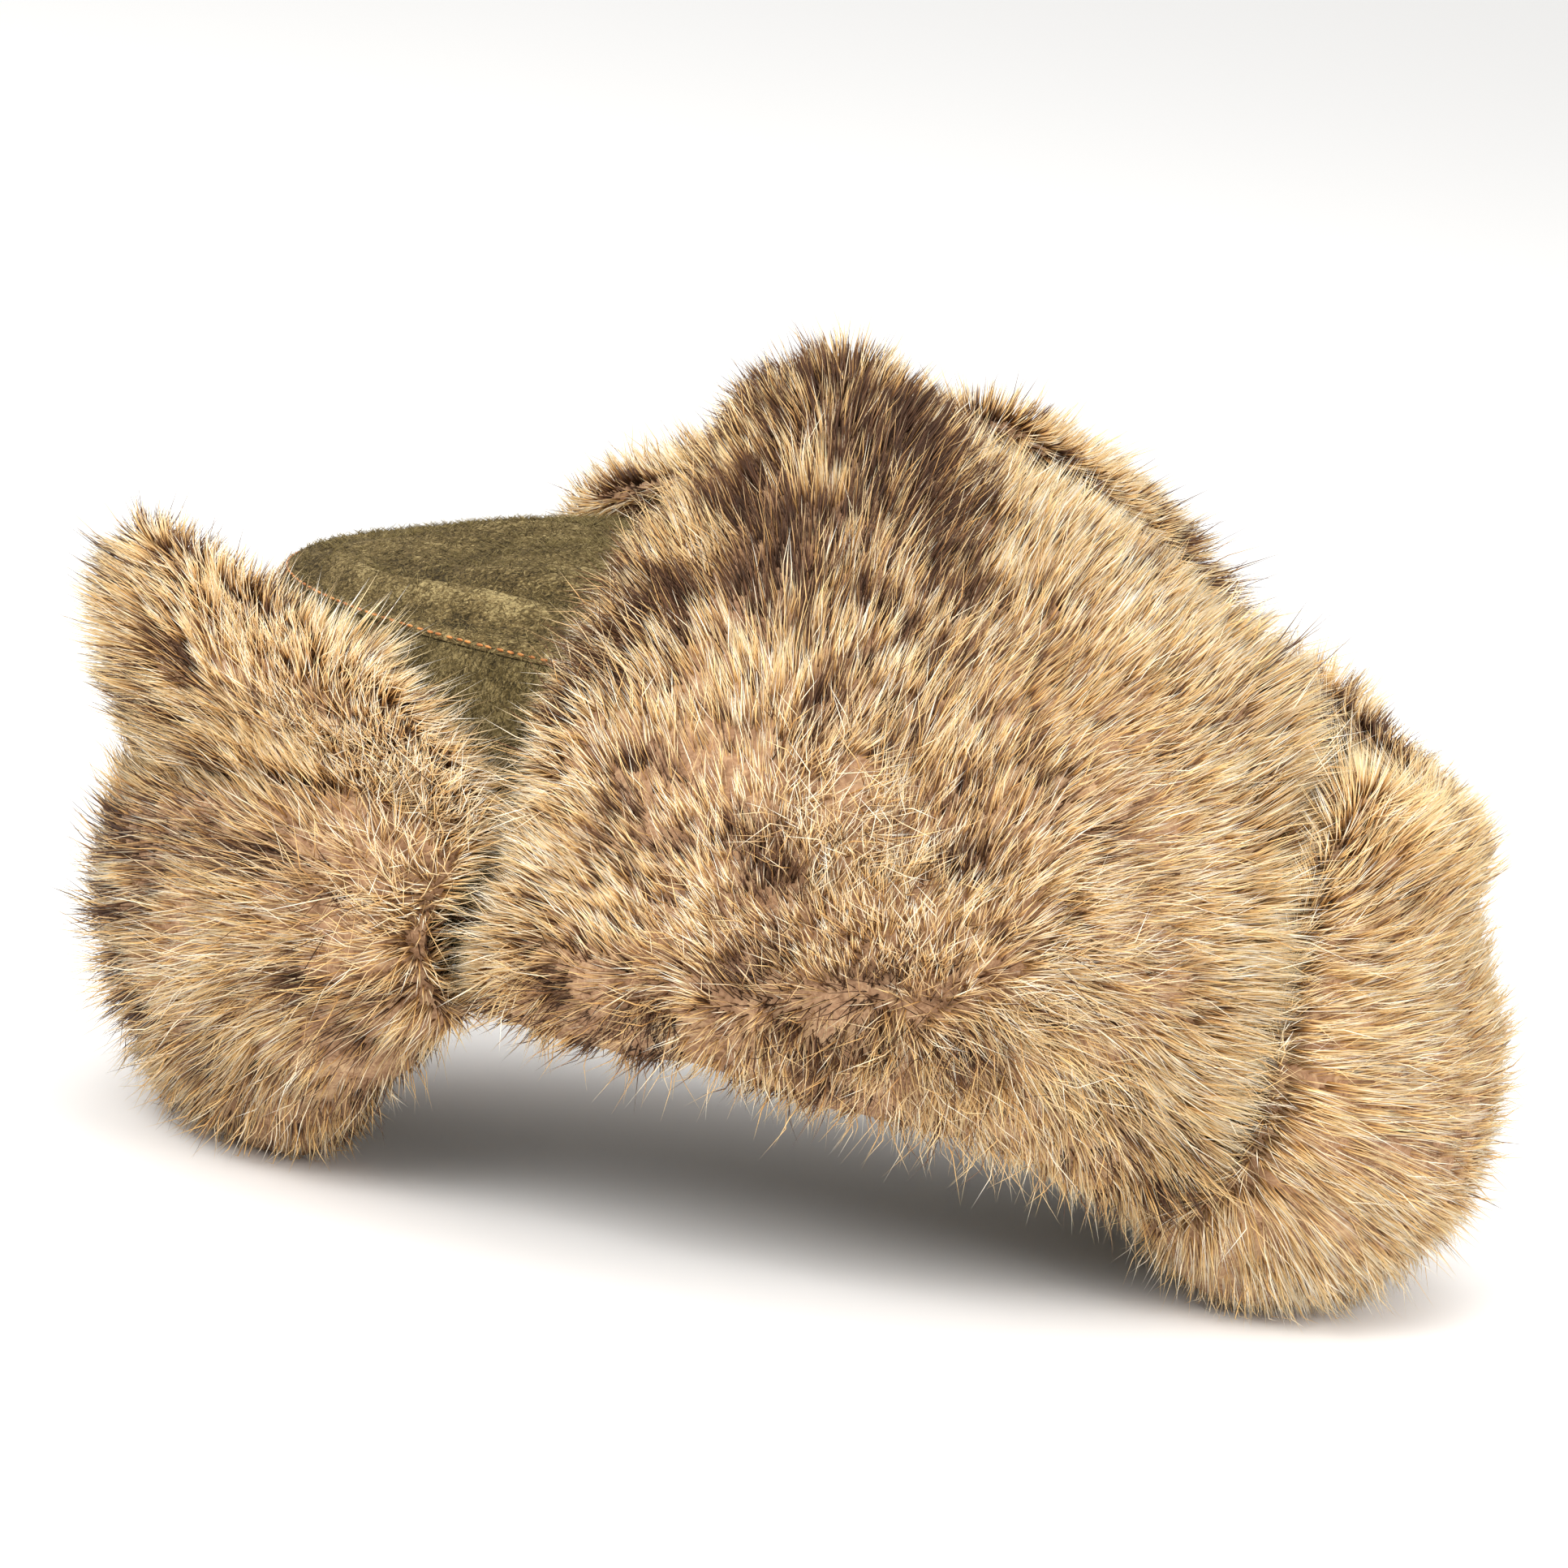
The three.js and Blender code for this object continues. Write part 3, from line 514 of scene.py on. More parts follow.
@dataclass(frozen=True)
class SkinFinish:
    """The dense underfur at the roots: woolly, pinkish tan and a little darker in its hollows."""

    name: str = "rabbit_underfur"
    dark: str = "#7A5A40"
    middle: str = "#A48062"
    light: str = "#C8A680"

    def make(self) -> bpy.types.Material:
        """Woolly tufts are two sizes of noise, 2 mm and 9 mm, in colour and in bump.

        Returns:
            The material.
        """
        material, tree = blank_material(self.name)
        place = add_node(tree, "TexCoord", {}, {}).outputs["Object"]
        wool = add_node(tree, "TexNoise", {"Scale": 500.0, "Detail": 5.0, "Distortion": 1.5}, {0: place})
        tuft = add_node(tree, "TexNoise", {"Scale": 110.0, "Detail": 2.0}, {0: place})
        both = add_node(
            tree, "Mix", {"data_type": "FLOAT", 0: 0.5}, {2: wool.outputs[0], 3: tuft.outputs[0]})
        ramp = add_node(tree, "ValToRGB", {}, {0: both.outputs[0]})
        set_ramp(ramp, ((0.35, self.dark), (0.5, self.middle), (0.65, self.light)))
        lift = add_node(tree, "Bump", {"Strength": 0.6, "Distance": 0.001}, {"Height": wool.outputs[0]})
        add_surface(tree, {"Roughness": 0.9, "Specular IOR Level": 0.2}, ramp.outputs[0], lift.outputs[0])
        return material


@dataclass(frozen=True)
class ThreadFinish:
    """Twisted sewing thread or cord: a plain dyed colour with fine slanting plies."""

    name: str
    dark: str
    light: str
    roughness: float = 0.6

    def make(self) -> bpy.types.Material:
        """Plies are a slanting wave pattern about a millimetre long, in colour and in bump.

        Returns:
            The material.
        """
        material, tree = blank_material(self.name)
        place = add_node(tree, "TexCoord", {}, {}).outputs["Object"]
        ply = add_node(
            tree, "TexWave", {"Scale": 300.0, "Distortion": 2.0, "bands_direction": "DIAGONAL"}, {0: place})
        ramp = add_node(tree, "ValToRGB", {}, {0: ply.outputs[0]})
        set_ramp(ramp, ((0.2, self.dark), (0.8, self.light)))
        lift = add_node(tree, "Bump", {"Strength": 0.4, "Distance": 0.0002}, {"Height": ply.outputs[1]})
        settings = {"Roughness": self.roughness, "Sheen Weight": 0.2}
        add_surface(tree, settings, ramp.outputs[0], lift.outputs[0])
        return material


class Slot(Enum):
    """The record's material slots."""

    CROWN = "crown_wool"
    BACKING = "backing_wool"
    FUR = "rabbit_fur"
    TIE = "tie_cord"


def add_piece(name: str, points: Array, faces: list[Array], replaces: tuple[str, ...] = (),
              maps: list[Array] | None = None) -> bpy.types.Object:
    """Makes one mesh piece from whole arrays, and lets it ride on the cap.

    Args:
        name: The piece's name.
        points: Vertices in the tables' millimetres.
        faces: Arrays of vertex numbers, one array for each number of corners.
        replaces: The CAD nodes that the piece stands for.
        maps: The u and v of each face corner, an array for each array of faces.

    Returns:
        The object, without a material.
    """
    mesh = bpy.data.meshes.new(name)
    mesh.vertices.add(len(points))
    mesh.vertices.foreach_set("co", ((points + SHIFT) / 1000).astype(np.float32).ravel())
    corners = np.concatenate([part.ravel() for part in faces]).astype(np.int32)
    sizes = np.concatenate([np.full(len(part), part.shape[1]) for part in faces])
    starts = np.concatenate([[0], np.cumsum(sizes)[:-1]]).astype(np.int32)
    mesh.loops.add(len(corners))
    mesh.loops.foreach_set("vertex_index", corners)
    mesh.polygons.add(len(sizes))
    mesh.polygons.foreach_set("loop_start", starts)
    mesh.polygons.foreach_set("use_smooth", np.ones(len(sizes), bool))
    if maps:
        layer = mesh.uv_layers.new(name=HAIR_UV)
        layer.data.foreach_set("uv", np.concatenate([part.reshape(-1) for part in maps]).astype(np.float32))
    mesh.update(calc_edges=True)
    mesh.validate()
    piece = bpy.data.objects.new(name, mesh)
    bpy.context.scene.collection.objects.link(piece)
    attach(piece, BODY)
    if replaces:
        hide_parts(*replaces)
    return piece


def grid_faces(rows: int, columns: int, closed: bool, start: int = 0) -> Array:
    """Quads between the points of a grid, counted row by row, wrapped round where it is closed."""
    row, column = np.meshgrid(np.arange(rows - 1), np.arange(columns - (0 if closed else 1)), indexing="ij")
    after = (column + 1) % columns
    here, above = row * columns, (row + 1) * columns
    return np.stack([here + column, here + after, above + after, above + column], -1).reshape(-1, 4) + start


def end_fans(sides: int, last: int, pole: int) -> Array:
    """Triangles that close a tube: its first ring to the point pole, and its last one to the next point."""
    ring = np.arange(sides)
    after = (ring + 1) % sides
    return np.concatenate([np.stack([after, ring, np.full(sides, pole)], -1),
                           np.stack([ring + last, after + last, np.full(sides, pole + 1)], -1)])


def copies(parts: tuple[Array, ...], count: int, step: int) -> list[Array]:
    """Repeats arrays of faces for like bodies whose points follow each other, step points apart."""
    offset = (np.arange(count) * step)[:, None, None]
    return [(part[None] + offset).reshape(-1, part.shape[1]) for part in parts]


def slab(outer: Array, inner: Array, flipped: bool) -> tuple[Array, list[Array]]:
    """A closed plate between two open grids: both faces, and a rim round their edges.

    Args:
        outer: The grid of the outside, of rows, columns and coordinates.
        inner: The grid of the inside, of the same size.
        flipped: True where the outside's quads have to be turned to face out.

    Returns:
        The points and the faces.
    """
    rows, columns = outer.shape[:2]
    count = rows * columns
    front = grid_faces(rows, columns, False)
    back = grid_faces(rows, columns, False, count)[:, ::-1]
    number = np.arange(count).reshape(rows, columns)
    edge = np.concatenate([number[0], number[1:, -1], number[-1, -2::-1], number[-2:0:-1, 0]])
    after = np.roll(edge, -1)
    rim = np.stack([edge, edge + count, after + count, after], -1)
    faces = np.concatenate([front, back, rim])
    points = np.concatenate([outer.reshape(-1, 3), inner.reshape(-1, 3)])
    return points, [faces[:, ::-1] if flipped else faces]


@dataclass(frozen=True)
class Hair:
    """One kind of hair: its sizes in millimetres, how loosely it lies, and how it varies.

    Lean and stray are degrees. Gather, wave, fly and dusk are shares: of the pull into tufts, of the
    curl, of the growth where the fur is loose, and of the dark hairs that a place asks for.
    """

    label: str
    length: tuple[float, float]
    width: float
    segments: int
    buried: float
    lean: float
    stray: float
    gather: float
    wave: float
    fly: float
    dusk: float


# Real hairs are 0.02 to 0.08 mm thick and wool fibres 0.03 mm; these are drawn thicker, so that they show
PILE = Hair("pile", (8, 12.5), 0.46, 1, 1.2, 4, 6, 0.6, 0.0, 0.15, 1.0)
GUARD_HAIR = Hair("guard_hair", (11, 16.5), 0.27, 2, 2.0, 2, 11, 0.35, 0.35, 0.7, 0.7)
FELT_FUZZ = Hair("fuzz", (1.2, 3.2), 0.17, 1, 0.1, 0, 0, 0, 0.0, 0.0, 1.0)


def spikes(name: str, path: Array, hair: Hair, place: Array, rng: np.random.Generator, floor: float) -> bpy.types.Object:
    """Carries a small triangle along each path, ending in a point, and maps its colours.

    Args:
        name: The piece's name.
        path: The hairs' points.
        hair: The kind of hair.
        place: The hairs' places up the colour map.
        rng: The seeded source of numbers.
        floor: The lowest height of any point.

    Returns:
        The object, without a material.
    """
    count, steps, share = path.shape[0], hair.segments, np.linspace(0, 1, hair.segments + 1)
    tangent = unit(np.gradient(path, axis=1))
    spin = unit(rng.normal(0, 1, (count, 1, 3)))
    first = unit(np.cross(tangent, spin))
    second = np.cross(tangent, first)
    width = hair.width * np.clip(rng.normal(1, 0.22, count), 0.5, 1.6)
    taper = np.array([1.0, 0.85])[:steps]
    radius = 0.5 * width[:, None] * taper[None, :]
    corner = np.radians([90, 210, 330])
    one, other = first[:, :steps, None, :], second[:, :steps, None, :]
    rings = path[:, :steps, None, :] + radius[:, :, None, None] * (
        one * np.cos(corner)[:, None] + other * np.sin(corner)[:, None])
    points = np.concatenate([rings.reshape(count, -1, 3), path[:, -1:, :]], 1)
    points[..., 2] = np.maximum(points[..., 2], floor)
    quads = grid_faces(steps, 3, True)
    last = 3 * (steps - 1)
    fans = np.array([[last, last + 1, last + 3], [last + 1, last + 2, last + 3], [last + 2, last, last + 3],
                     [2, 1, 0]])
    faces = copies((quads, fans), count, 3 * steps + 1)
    narrow = 0.0012
    low, high = np.repeat(share[:-1], 3)[:len(quads)], np.repeat(share[1:], 3)[:len(quads)]
    u_quads = np.stack([low, low, high, high], -1)
    v_quads = np.array([-narrow, narrow, narrow, -narrow])
    u_fans = np.array([[share[-2], share[-2], 1.0]] * 3 + [[0.0, 0.01, 0.0]])
    v_fans = np.array([[-narrow, narrow, 0.0]] * 3 + [[-narrow, 0.0, narrow]])
    maps = [
        np.stack(np.broadcast_arrays(u_quads[None], place[:, None, None] + v_quads), -1),
        np.stack(np.broadcast_arrays(u_fans[None], place[:, None, None] + v_fans[None]), -1)]
    return add_piece(name, points.reshape(-1, 3), faces, (), maps)


@dataclass
class CrownPanels:
    """The wool crown: a side panel, a top panel with a rolled seam, loose fibres and the topstitch."""

    columns: int = 160
    side_rows: int = 28
    top_rows: int = 34
    wrinkles: tuple[tuple[float, float, float, float], ...] = (
        (36, 0.12, 0.045, -4.2), (42, 0.21, 0.045, 3.4), (50, 0.31, 0.05, -3.2), (56, 0.42, 0.05, 2.6),
        (22, 0.3, 0.05, -1.8), (90, 0.26, 0.05, -1.3), (120, 0.4, 0.06, 1.4))
    stitch_length: float = 1.75
    stitch_pitch: float = 2.6
    stitch_radius: float = 0.36
    stitch_lift: float = 0.35
    wrinkle_skew: float = 0.0012
    wrinkle_reach: float = 26.0
    top_wall: float = 2.2
    seam_lift: float = 0.3
    side_finish: FeltFinish = field(default_factory=lambda: FeltFinish(
        "wool_felt_side", (1300, 1300, 700), "#30270F", "#6B5B36", "#AF9B6A"))
    # The top panel's felt paints its folds paler on the ridges and darker in the hollows: painted light and
    # shade
    top_finish: FeltFinish = field(default_factory=lambda: FeltFinish(
        "wool_felt_top", (650, 1100, 1300), fold_shading=0.013))
    thread: ThreadFinish = field(
        default_factory=lambda: ThreadFinish("cotton_topstitch", "#A86424", "#D98F45"))
    fuzz_finish: HairFinish = field(default_factory=lambda: HairFinish(
        "wool_fuzz", ((0, "#5E5030"), (1, "#8A7848")), ((0, "#7B6A42"), (1, "#C4B078")),
        ((0, "#3A3019"), (1, "#56482A")), ((0, "#6A5A38"), (1, "#94824F")), 0.9))

    def side_points(self, share: Array, angle: Array, inset: float) -> Array:
        """Points of the side panel: the crown's oval from the arched hem to the seam, with soft folds.

        Args:
            share: Places from the hem, 0, to the seam, 1.
            angle: Degrees round the crown.
            inset: How far inside the outer face the points lie.

        Returns:
            The points.
        """
        height = hem_height(angle) + 3 + (SEAM_HEIGHT - hem_height(angle) - 3) * share
        oval = CROWN.at(height)
        turn = np.radians(angle)
        fold = 0.5 * np.sin(9 * turn + 2.5 * share) * np.sin(5 * turn - 3 * share) * np.sin(np.pi * share)
        shrink = inset + 0.2 - fold
        section = {"centre": oval["centre"], "long": oval["long"] - shrink, "wide": oval["wide"] - shrink}
        return oval_point(section, angle, height)

    def slack(self, share: Array, angle: Array) -> Array:
        """Millimetres that the slack top panel rises: waves and bell-shaped wrinkles, less a dent in front.

        Args:
            share: Places from the seam, 0, to the crest, 1.
            angle: Degrees round the crown.

        Returns:
            The rise at each place.
        """
        turn = np.radians(angle)
        front = np.maximum(0, np.cos(turn))
        fold = 1.1 * np.sin(np.pi * share) * front * np.sin(7 * turn + 5 * share)
        fold = fold + 0.5 * np.sin(np.pi * share) * np.sin(3 * turn + 9 * share) * np.sin(5 * turn)
        for middle, place, width, height in self.wrinkles:
            ridge = np.exp(-((share - place - self.wrinkle_skew * (angle - middle)) / width) ** 2)
            fold = fold + height * ridge * np.exp(-((angle - middle) / self.wrinkle_reach) ** 2)
        return fold - 2.2 * front**2 * np.sin(np.pi * np.minimum(1, share * 1.6)) ** 2

    def top_points(self, share: Array, angle: Array, inset: float) -> Array:
        """Points of the top panel: ovals from the seam to the crest, with a rolled lip at the seam.

        Args:
            share: Places from the seam, 0, to the crest, 1.
            angle: Degrees round the crown.
            inset: How far under the outer face the points lie.

        Returns:
            The points.
        """
        oval = CROWN_TOP.at(share)
        lip = 0.2 * np.exp(-share / 0.006) - 0.2 * np.exp(-((share - 0.02) / 0.015) ** 2)
        shrink = inset * (1 - 0.9 * share) + lip
        section = {
            "centre": oval["centre"], "long": np.maximum(oval["long"] - shrink, 0.4),
            "wide": np.maximum(oval["wide"] - shrink, 0.3)}
        under = inset * np.sin(np.minimum(1, share * 2.5) * np.pi / 2)
        return oval_point(section, angle, oval["z"] + self.seam_lift + self.slack(share, angle) - under)

    def build(self) -> None:
        """Builds and dresses the two panels and the stitches."""
        share = np.linspace(0, 1, self.side_rows)[:, None]
        angle = (np.arange(self.columns) * 360 / self.columns)[None, :]
        outer, inner = self.side_points(share, angle, 0), self.side_points(share, angle, CROWN_WALL)
        count, last = self.side_rows * self.columns, (self.side_rows - 1) * self.columns
        ring = np.arange(self.columns)
        after = (ring + 1) % self.columns
        faces = np.concatenate([
            grid_faces(self.side_rows, self.columns, True),
            grid_faces(self.side_rows, self.columns, True, count)[:, ::-1],
            np.stack([after, ring, ring + count, after + count], -1),
            np.stack([ring, after, after + count, ring + count], -1) + last])
        side = add_piece("crown_side_felt", np.concatenate([outer.reshape(-1, 3), inner.reshape(-1, 3)]),
                         [faces], ("crown_side",))
        side.data.materials.append(self.side_finish.make())
        self.build_top(ring, after)
        self.build_stitches()
        fuzz = self.fuzz_finish.make()
        self.build_fuzz("crown_side_fuzz", self.side_points, (0.45, 1), 11000, fuzz)
        self.build_fuzz("crown_top_fuzz", self.top_points, (0.0, 0.8), 17000, fuzz)

    def build_top(self, ring: Array, after: Array) -> None:
        """Builds the top panel.

        Args:
            ring: Column numbers.
            after: The number of the column after each.
        """
        share = np.linspace(0, 0.985, self.top_rows)[:, None] ** 1.15
        angle = (np.arange(self.columns) * 360 / self.columns)[None, :]
        outer, inner = self.top_points(share, angle, 0), self.top_points(share, angle, self.top_wall)
        count, last = self.top_rows * self.columns, (self.top_rows - 1) * self.columns
        crest = CROWN_TOP.rows[-1]
        height = crest[1] + self.seam_lift
        poles = np.array([[crest[2], 0, height], [crest[2], 0, height - self.top_wall]])
        quads = np.concatenate([
            grid_faces(self.top_rows, self.columns, True),
            grid_faces(self.top_rows, self.columns, True, count)[:, ::-1],
            np.stack([after, ring, ring + count, after + count], -1)])
        fans = np.concatenate([
            np.stack([ring + last, after + last, np.full_like(ring, 2 * count)], -1),
            np.stack([after + last + count, ring + last + count, np.full_like(ring, 2 * count + 1)], -1)])
        points = np.concatenate([outer.reshape(-1, 3), inner.reshape(-1, 3), poles])
        top = add_piece("crown_top_felt", points, [quads, fans], ("crown_top",))
        # The fold heights go onto the mesh, where the felt paints the ridges paler and the hollows darker
        # as painted light and shade
        rise = self.slack(share, angle).ravel()
        fold = top.data.attributes.new(FOLD, "FLOAT", "POINT")
        fold.data.foreach_set("value", np.concatenate([rise, rise, [0, 0]]).astype(np.float32))
        top.data.materials.append(self.top_finish.make())

    def build_fuzz(self, name: str, place: Callable[[Array, Array, float], Array],
                   reach: tuple[float, float], count: int, material: bpy.types.Material) -> None:
        """Strews loose fibres over a panel: short spikes that lie on it in any direction.

        Args:
            name: The piece's name.
            place: Gives the panel's points.
            reach: The lowest and highest share of the panel with fibres.
            count: How many.
            material: The fibres' material.
        """
        rng = np.random.default_rng(count + len(name))
        share, angle = rng.uniform(*reach, count), rng.uniform(-100, 100, count)
        root, level = place(share, angle, 0), place(share, angle + 0.5, 0)
        above = place(share + 0.004, angle, 0)
        sideways, upward = unit(level - root), unit(above - root)
        outward = unit(np.cross(sideways, upward))
        outward *= np.sign(np.sum(outward * (root - np.array(CROWN_HEART)), -1, keepdims=True))
        turn = rng.uniform(0, 2 * np.pi, (count, 1))
        length = rng.uniform(*FELT_FUZZ.length, (count, 1))
        along = sideways * np.cos(turn) + upward * np.sin(turn)
        tip = root + along * length + outward * length * rng.uniform(0.15, 0.8, (count, 1))
        path = np.stack([root - outward * FELT_FUZZ.buried, tip], 1)
        fibres = spikes(name, path, FELT_FUZZ, (rng.integers(0, 4, count) + 0.5) / 4, rng, 0.0)
        fibres.data.materials.append(material)

    def build_stitches(self) -> None:
        """Lays a row of short thread loops just above the seam: each is an ellipsoid along the oval."""
        angle = np.linspace(0, 360, 4000)
        oval = CROWN_TOP.at(0.02)
        section = {name: oval[name] for name in ("centre", "long", "wide")}
        path = oval_point(section, angle, np.full_like(angle, float(oval["z"]) + self.seam_lift))
        length = np.concatenate([[0], np.cumsum(np.linalg.norm(np.diff(path, axis=0), axis=1))])
        number = int(length[-1] // self.stitch_pitch)
        rng = np.random.default_rng(5)
        place = (np.arange(number) + 0.5 + rng.uniform(-0.12, 0.12, number)) * length[-1] / number
        later = (place + 0.5) % length[-1]
        middle = np.stack([np.interp(place, length, path[:, axis]) for axis in range(3)], -1)
        ahead = np.stack([np.interp(later, length, path[:, axis]) for axis in range(3)], -1)
        tangent = unit(ahead - middle)
        behind, rise = middle[:, 0] - CROWN_HEART[0], np.full(number, 60.0)
        outward = unit(np.stack([behind, middle[:, 1] * 1.4, rise], -1))
        upward = unit(np.cross(tangent, outward))
        tangent = unit(tangent + upward * rng.normal(0, 0.08, (number, 1)))
        rings, sides = 4, 6
        polar, round_it = np.linspace(0, np.pi, rings + 2)[1:-1], np.arange(sides) * 2 * np.pi / sides
        turn, around = np.meshgrid(polar, round_it, indexing="ij")
        thick = np.sin(turn) * self.stitch_radius
        shape = np.stack([-np.cos(turn) * self.stitch_length / 2, thick * np.cos(around),
                          thick * np.sin(around)], -1).reshape(-1, 3)
        ends = np.array([[-self.stitch_length / 2, 0, 0], [self.stitch_length / 2, 0, 0]])
        shape = np.concatenate([shape, ends])
        axes = np.stack([tangent, np.cross(outward, tangent), outward], 1)
        centres = middle + outward * self.stitch_lift
        points = centres[:, None, :] + np.einsum("pk,nkc->npc", shape, axes)
        fans = end_fans(sides, (rings - 1) * sides, rings * sides)
        faces = copies((grid_faces(rings, sides, True), fans), number, len(shape))
        stitches = add_piece("seam_topstitch", points.reshape(-1, 3), faces)
        stitches.data.materials.append(self.thread.make())


@dataclass
class FlapBacking:
    """The wool cloth on a flap's inner side, a closed slab just under two millimetres thick."""

    flap: Flap
    columns: int = 30
    rows: int = 30
    near: float = 0.1
    far: float = 1.9

    def build(self, material: bpy.types.Material) -> None:
        """Builds the cloth from two grids off the flap's sheet.

        Args:
            material: The cloth's material.
        """
        rows, columns = np.linspace(0, 1, self.rows), np.linspace(0, 1, self.columns)
        up, across = np.meshgrid(rows, columns, indexing="ij")
        sheet, outward = self.flap.sheet(across, up), self.flap.axes(across, up)[0]
        points, faces = slab(sheet + outward * self.far, sheet + outward * self.near, self.flap.side < 0)
        cloth = add_piece(f"{self.flap.name}_backing", points, faces,
                          (f"{self.flap.name}_flap_cloth",))
        cloth.data.materials.append(material)


def patches(across: Array, up: Array, size: tuple[float, float], rng: np.random.Generator) -> Array:
    """Smooth random patches: a grid of random numbers, eased from one to the next in both directions.

    Args:
        across: Places across, in patches' own units once multiplied by size.
        up: Places up.
        size: How many patches there are across and up.
        rng: The seeded source of numbers.

    Returns:
        A number of about -1 to 1 for each place.
    """
    grid = rng.uniform(-1, 1, (int(size[1]) + 4, int(size[0]) + 4))
    x, y = (across + 0.05) * size[0], (up + 0.05) * size[1]
    x, y = np.clip(x, 0, grid.shape[1] - 1.01), np.clip(y, 0, grid.shape[0] - 1.01)
    column, row = x.astype(int), y.astype(int)
    s, t = x - column, y - row
    s, t = s * s * (3 - 2 * s), t * t * (3 - 2 * t)
    low = grid[row, column] * (1 - s) + grid[row, column + 1] * s
    high = grid[row + 1, column] * (1 - s) + grid[row + 1, column + 1] * s
    return low * (1 - t) + high * t


def layered(across: Array, up: Array, size: tuple[float, float],
            layers: tuple[tuple[float, float, float], ...], rng: np.random.Generator) -> Array:
    """Adds up layers of patches.

    Args:
        across: Places across.
        up: Places up.
        size: The flap's width and height in millimetres.
        layers: Each layer's height, and its patches' width and length in millimetres.
        rng: The seeded source of numbers.

    Returns:
        The sum at each place.
    """
    wide, tall = size
    return sum(height * patches(across, up, (wide / width, tall / length), rng)
               for height, width, length in layers)


@dataclass
class FlapFur:
    """The pelt on a flap: a woolly skin turned over the flap's edges, and the hairs that stand on it."""

    flap: Flap
    pile: int
    guard: int
    seed: int
    skin_depth: float = 6.5
    edge_radius: float = 2.3
    turned: float = 11.0
    tuft: float = 2.6
    lock: float = 10.0
    splay_reach: float = 6.0
    reach: float = 12.0
    shag: float = 1.0
    floor: float = 0.3
    side_fade: float = 0.13
    top_fade: float = 0.11
    hem_fade: float = 0.1
    hem_fullness: float = 0.3
    hem_length: float = 0.42
    hem_reach: float = 0.16
    splay: float = 0.32
    hem_splay: float = 0.6
    hollows: tuple[tuple[float, float, float], ...] = ((2.2, 34, 26), (1.2, 13, 9))
    mottles: tuple[tuple[float, float, float], ...] = ((0.3, 30, 20), (0.7, 16, 6), (0.6, 6, 4))

    def fullness(self, across: Array, up: Array) -> Array:
        """How thick the pelt is, from 0 at the edges to 1: the root of the nearest edge's share."""
        from_side, from_top = np.minimum(across, 1 - across) / self.side_fade, (1 - up) / self.top_fade
        nearest = np.minimum.reduce([from_side, from_top, self.hem_fullness + up / self.hem_fade])
        return np.sqrt(np.clip(nearest, 0, 1))

    def margins(self) -> tuple[float, float]:
        """How far the skin goes past the side edges and the top one, as shares of the flap's size."""
        wide, tall = self.flap.size()
        return self.turned / wide, self.turned / tall

    def relief(self, across: Array, up: Array) -> Array:
        """Millimetres of large and small hollows in the pelt, the same for the skin and the hairs."""
        return layered(across, up, self.flap.size(), self.hollows, np.random.default_rng(self.seed + 7))

    def skin(self, across: Array, up: Array, part: float = 1.0) -> tuple[Array, Array, Array, Array]:
        """Points and axes of the skin, which turns over the flap's edges on a half circle.

        Args:
            across: Places across; beyond 0 and 1 they go round the side edges.
            up: Places up; beyond 1 they go round the top edge.
            part: The share of the skin's depth at which the points lie.

        Returns:
            Points, and the outward, upward and sideways directions there.
        """
        inner_across, inner_up = np.clip(across, 0, 1), np.clip(up, 0, 1)
        outward, upward, sideways = self.flap.axes(inner_across, inner_up)
        wide, tall = self.flap.stretch(inner_across, inner_up)
        over_x, over_y = (across - inner_across) * wide, np.maximum(0, up - inner_up) * tall
        over = np.hypot(over_x, over_y)
        away = unit(sideways * over_x[..., None] + upward * over_y[..., None])
        radius = self.edge_radius
        turn = np.minimum(over / radius, np.pi)
        back = np.maximum(0, over - np.pi * radius)
        full = self.fullness(inner_across, inner_up)
        bulge = (self.skin_depth + self.relief(inner_across, inner_up)) * full * np.cos(turn / 2) ** 2
        rise = radius + (radius * np.cos(turn) + bulge) * part
        run = radius * np.sin(turn) * part - back
        points = self.flap.sheet(inner_across, inner_up) + outward * rise[..., None] + away * run[..., None]
        facing = unit(outward * np.cos(turn)[..., None] + away * np.sin(turn)[..., None])
        return points, facing, upward, sideways

    def build_skin(self, material: bpy.types.Material) -> None:
        """Builds the woolly skin: a closed slab that is lumpy outside and turned over the flap's edges.

        Args:
            material: The underfur's material.
        """
        wide, tall = self.flap.size()
        line = np.concatenate([np.linspace(-1, 0, 6)[:-1] * self.turned / wide, np.linspace(0, 1, 46),
                               1 + np.linspace(0, 1, 6)[1:] * self.turned / wide])
        rise = np.concatenate([np.linspace(0, 1, 46), 1 + np.linspace(0, 1, 6)[1:] * self.turned / tall])
        up, across = np.meshgrid(rise, line, indexing="ij")
        outer, inner = self.skin(across, up, 1.0)[0], self.skin(across, up, 0.25)[0]
        outer[..., 2] = np.maximum(outer[..., 2], self.floor)
        inner[..., 2] = np.maximum(inner[..., 2], self.floor + 0.2)
        points, faces = slab(outer, inner, self.flap.side < 0)
        name = self.flap.name
        skin = add_piece(f"{name}_underfur", points, faces, (f"{name}_flap_fur",))
        skin.data.materials.append(material)

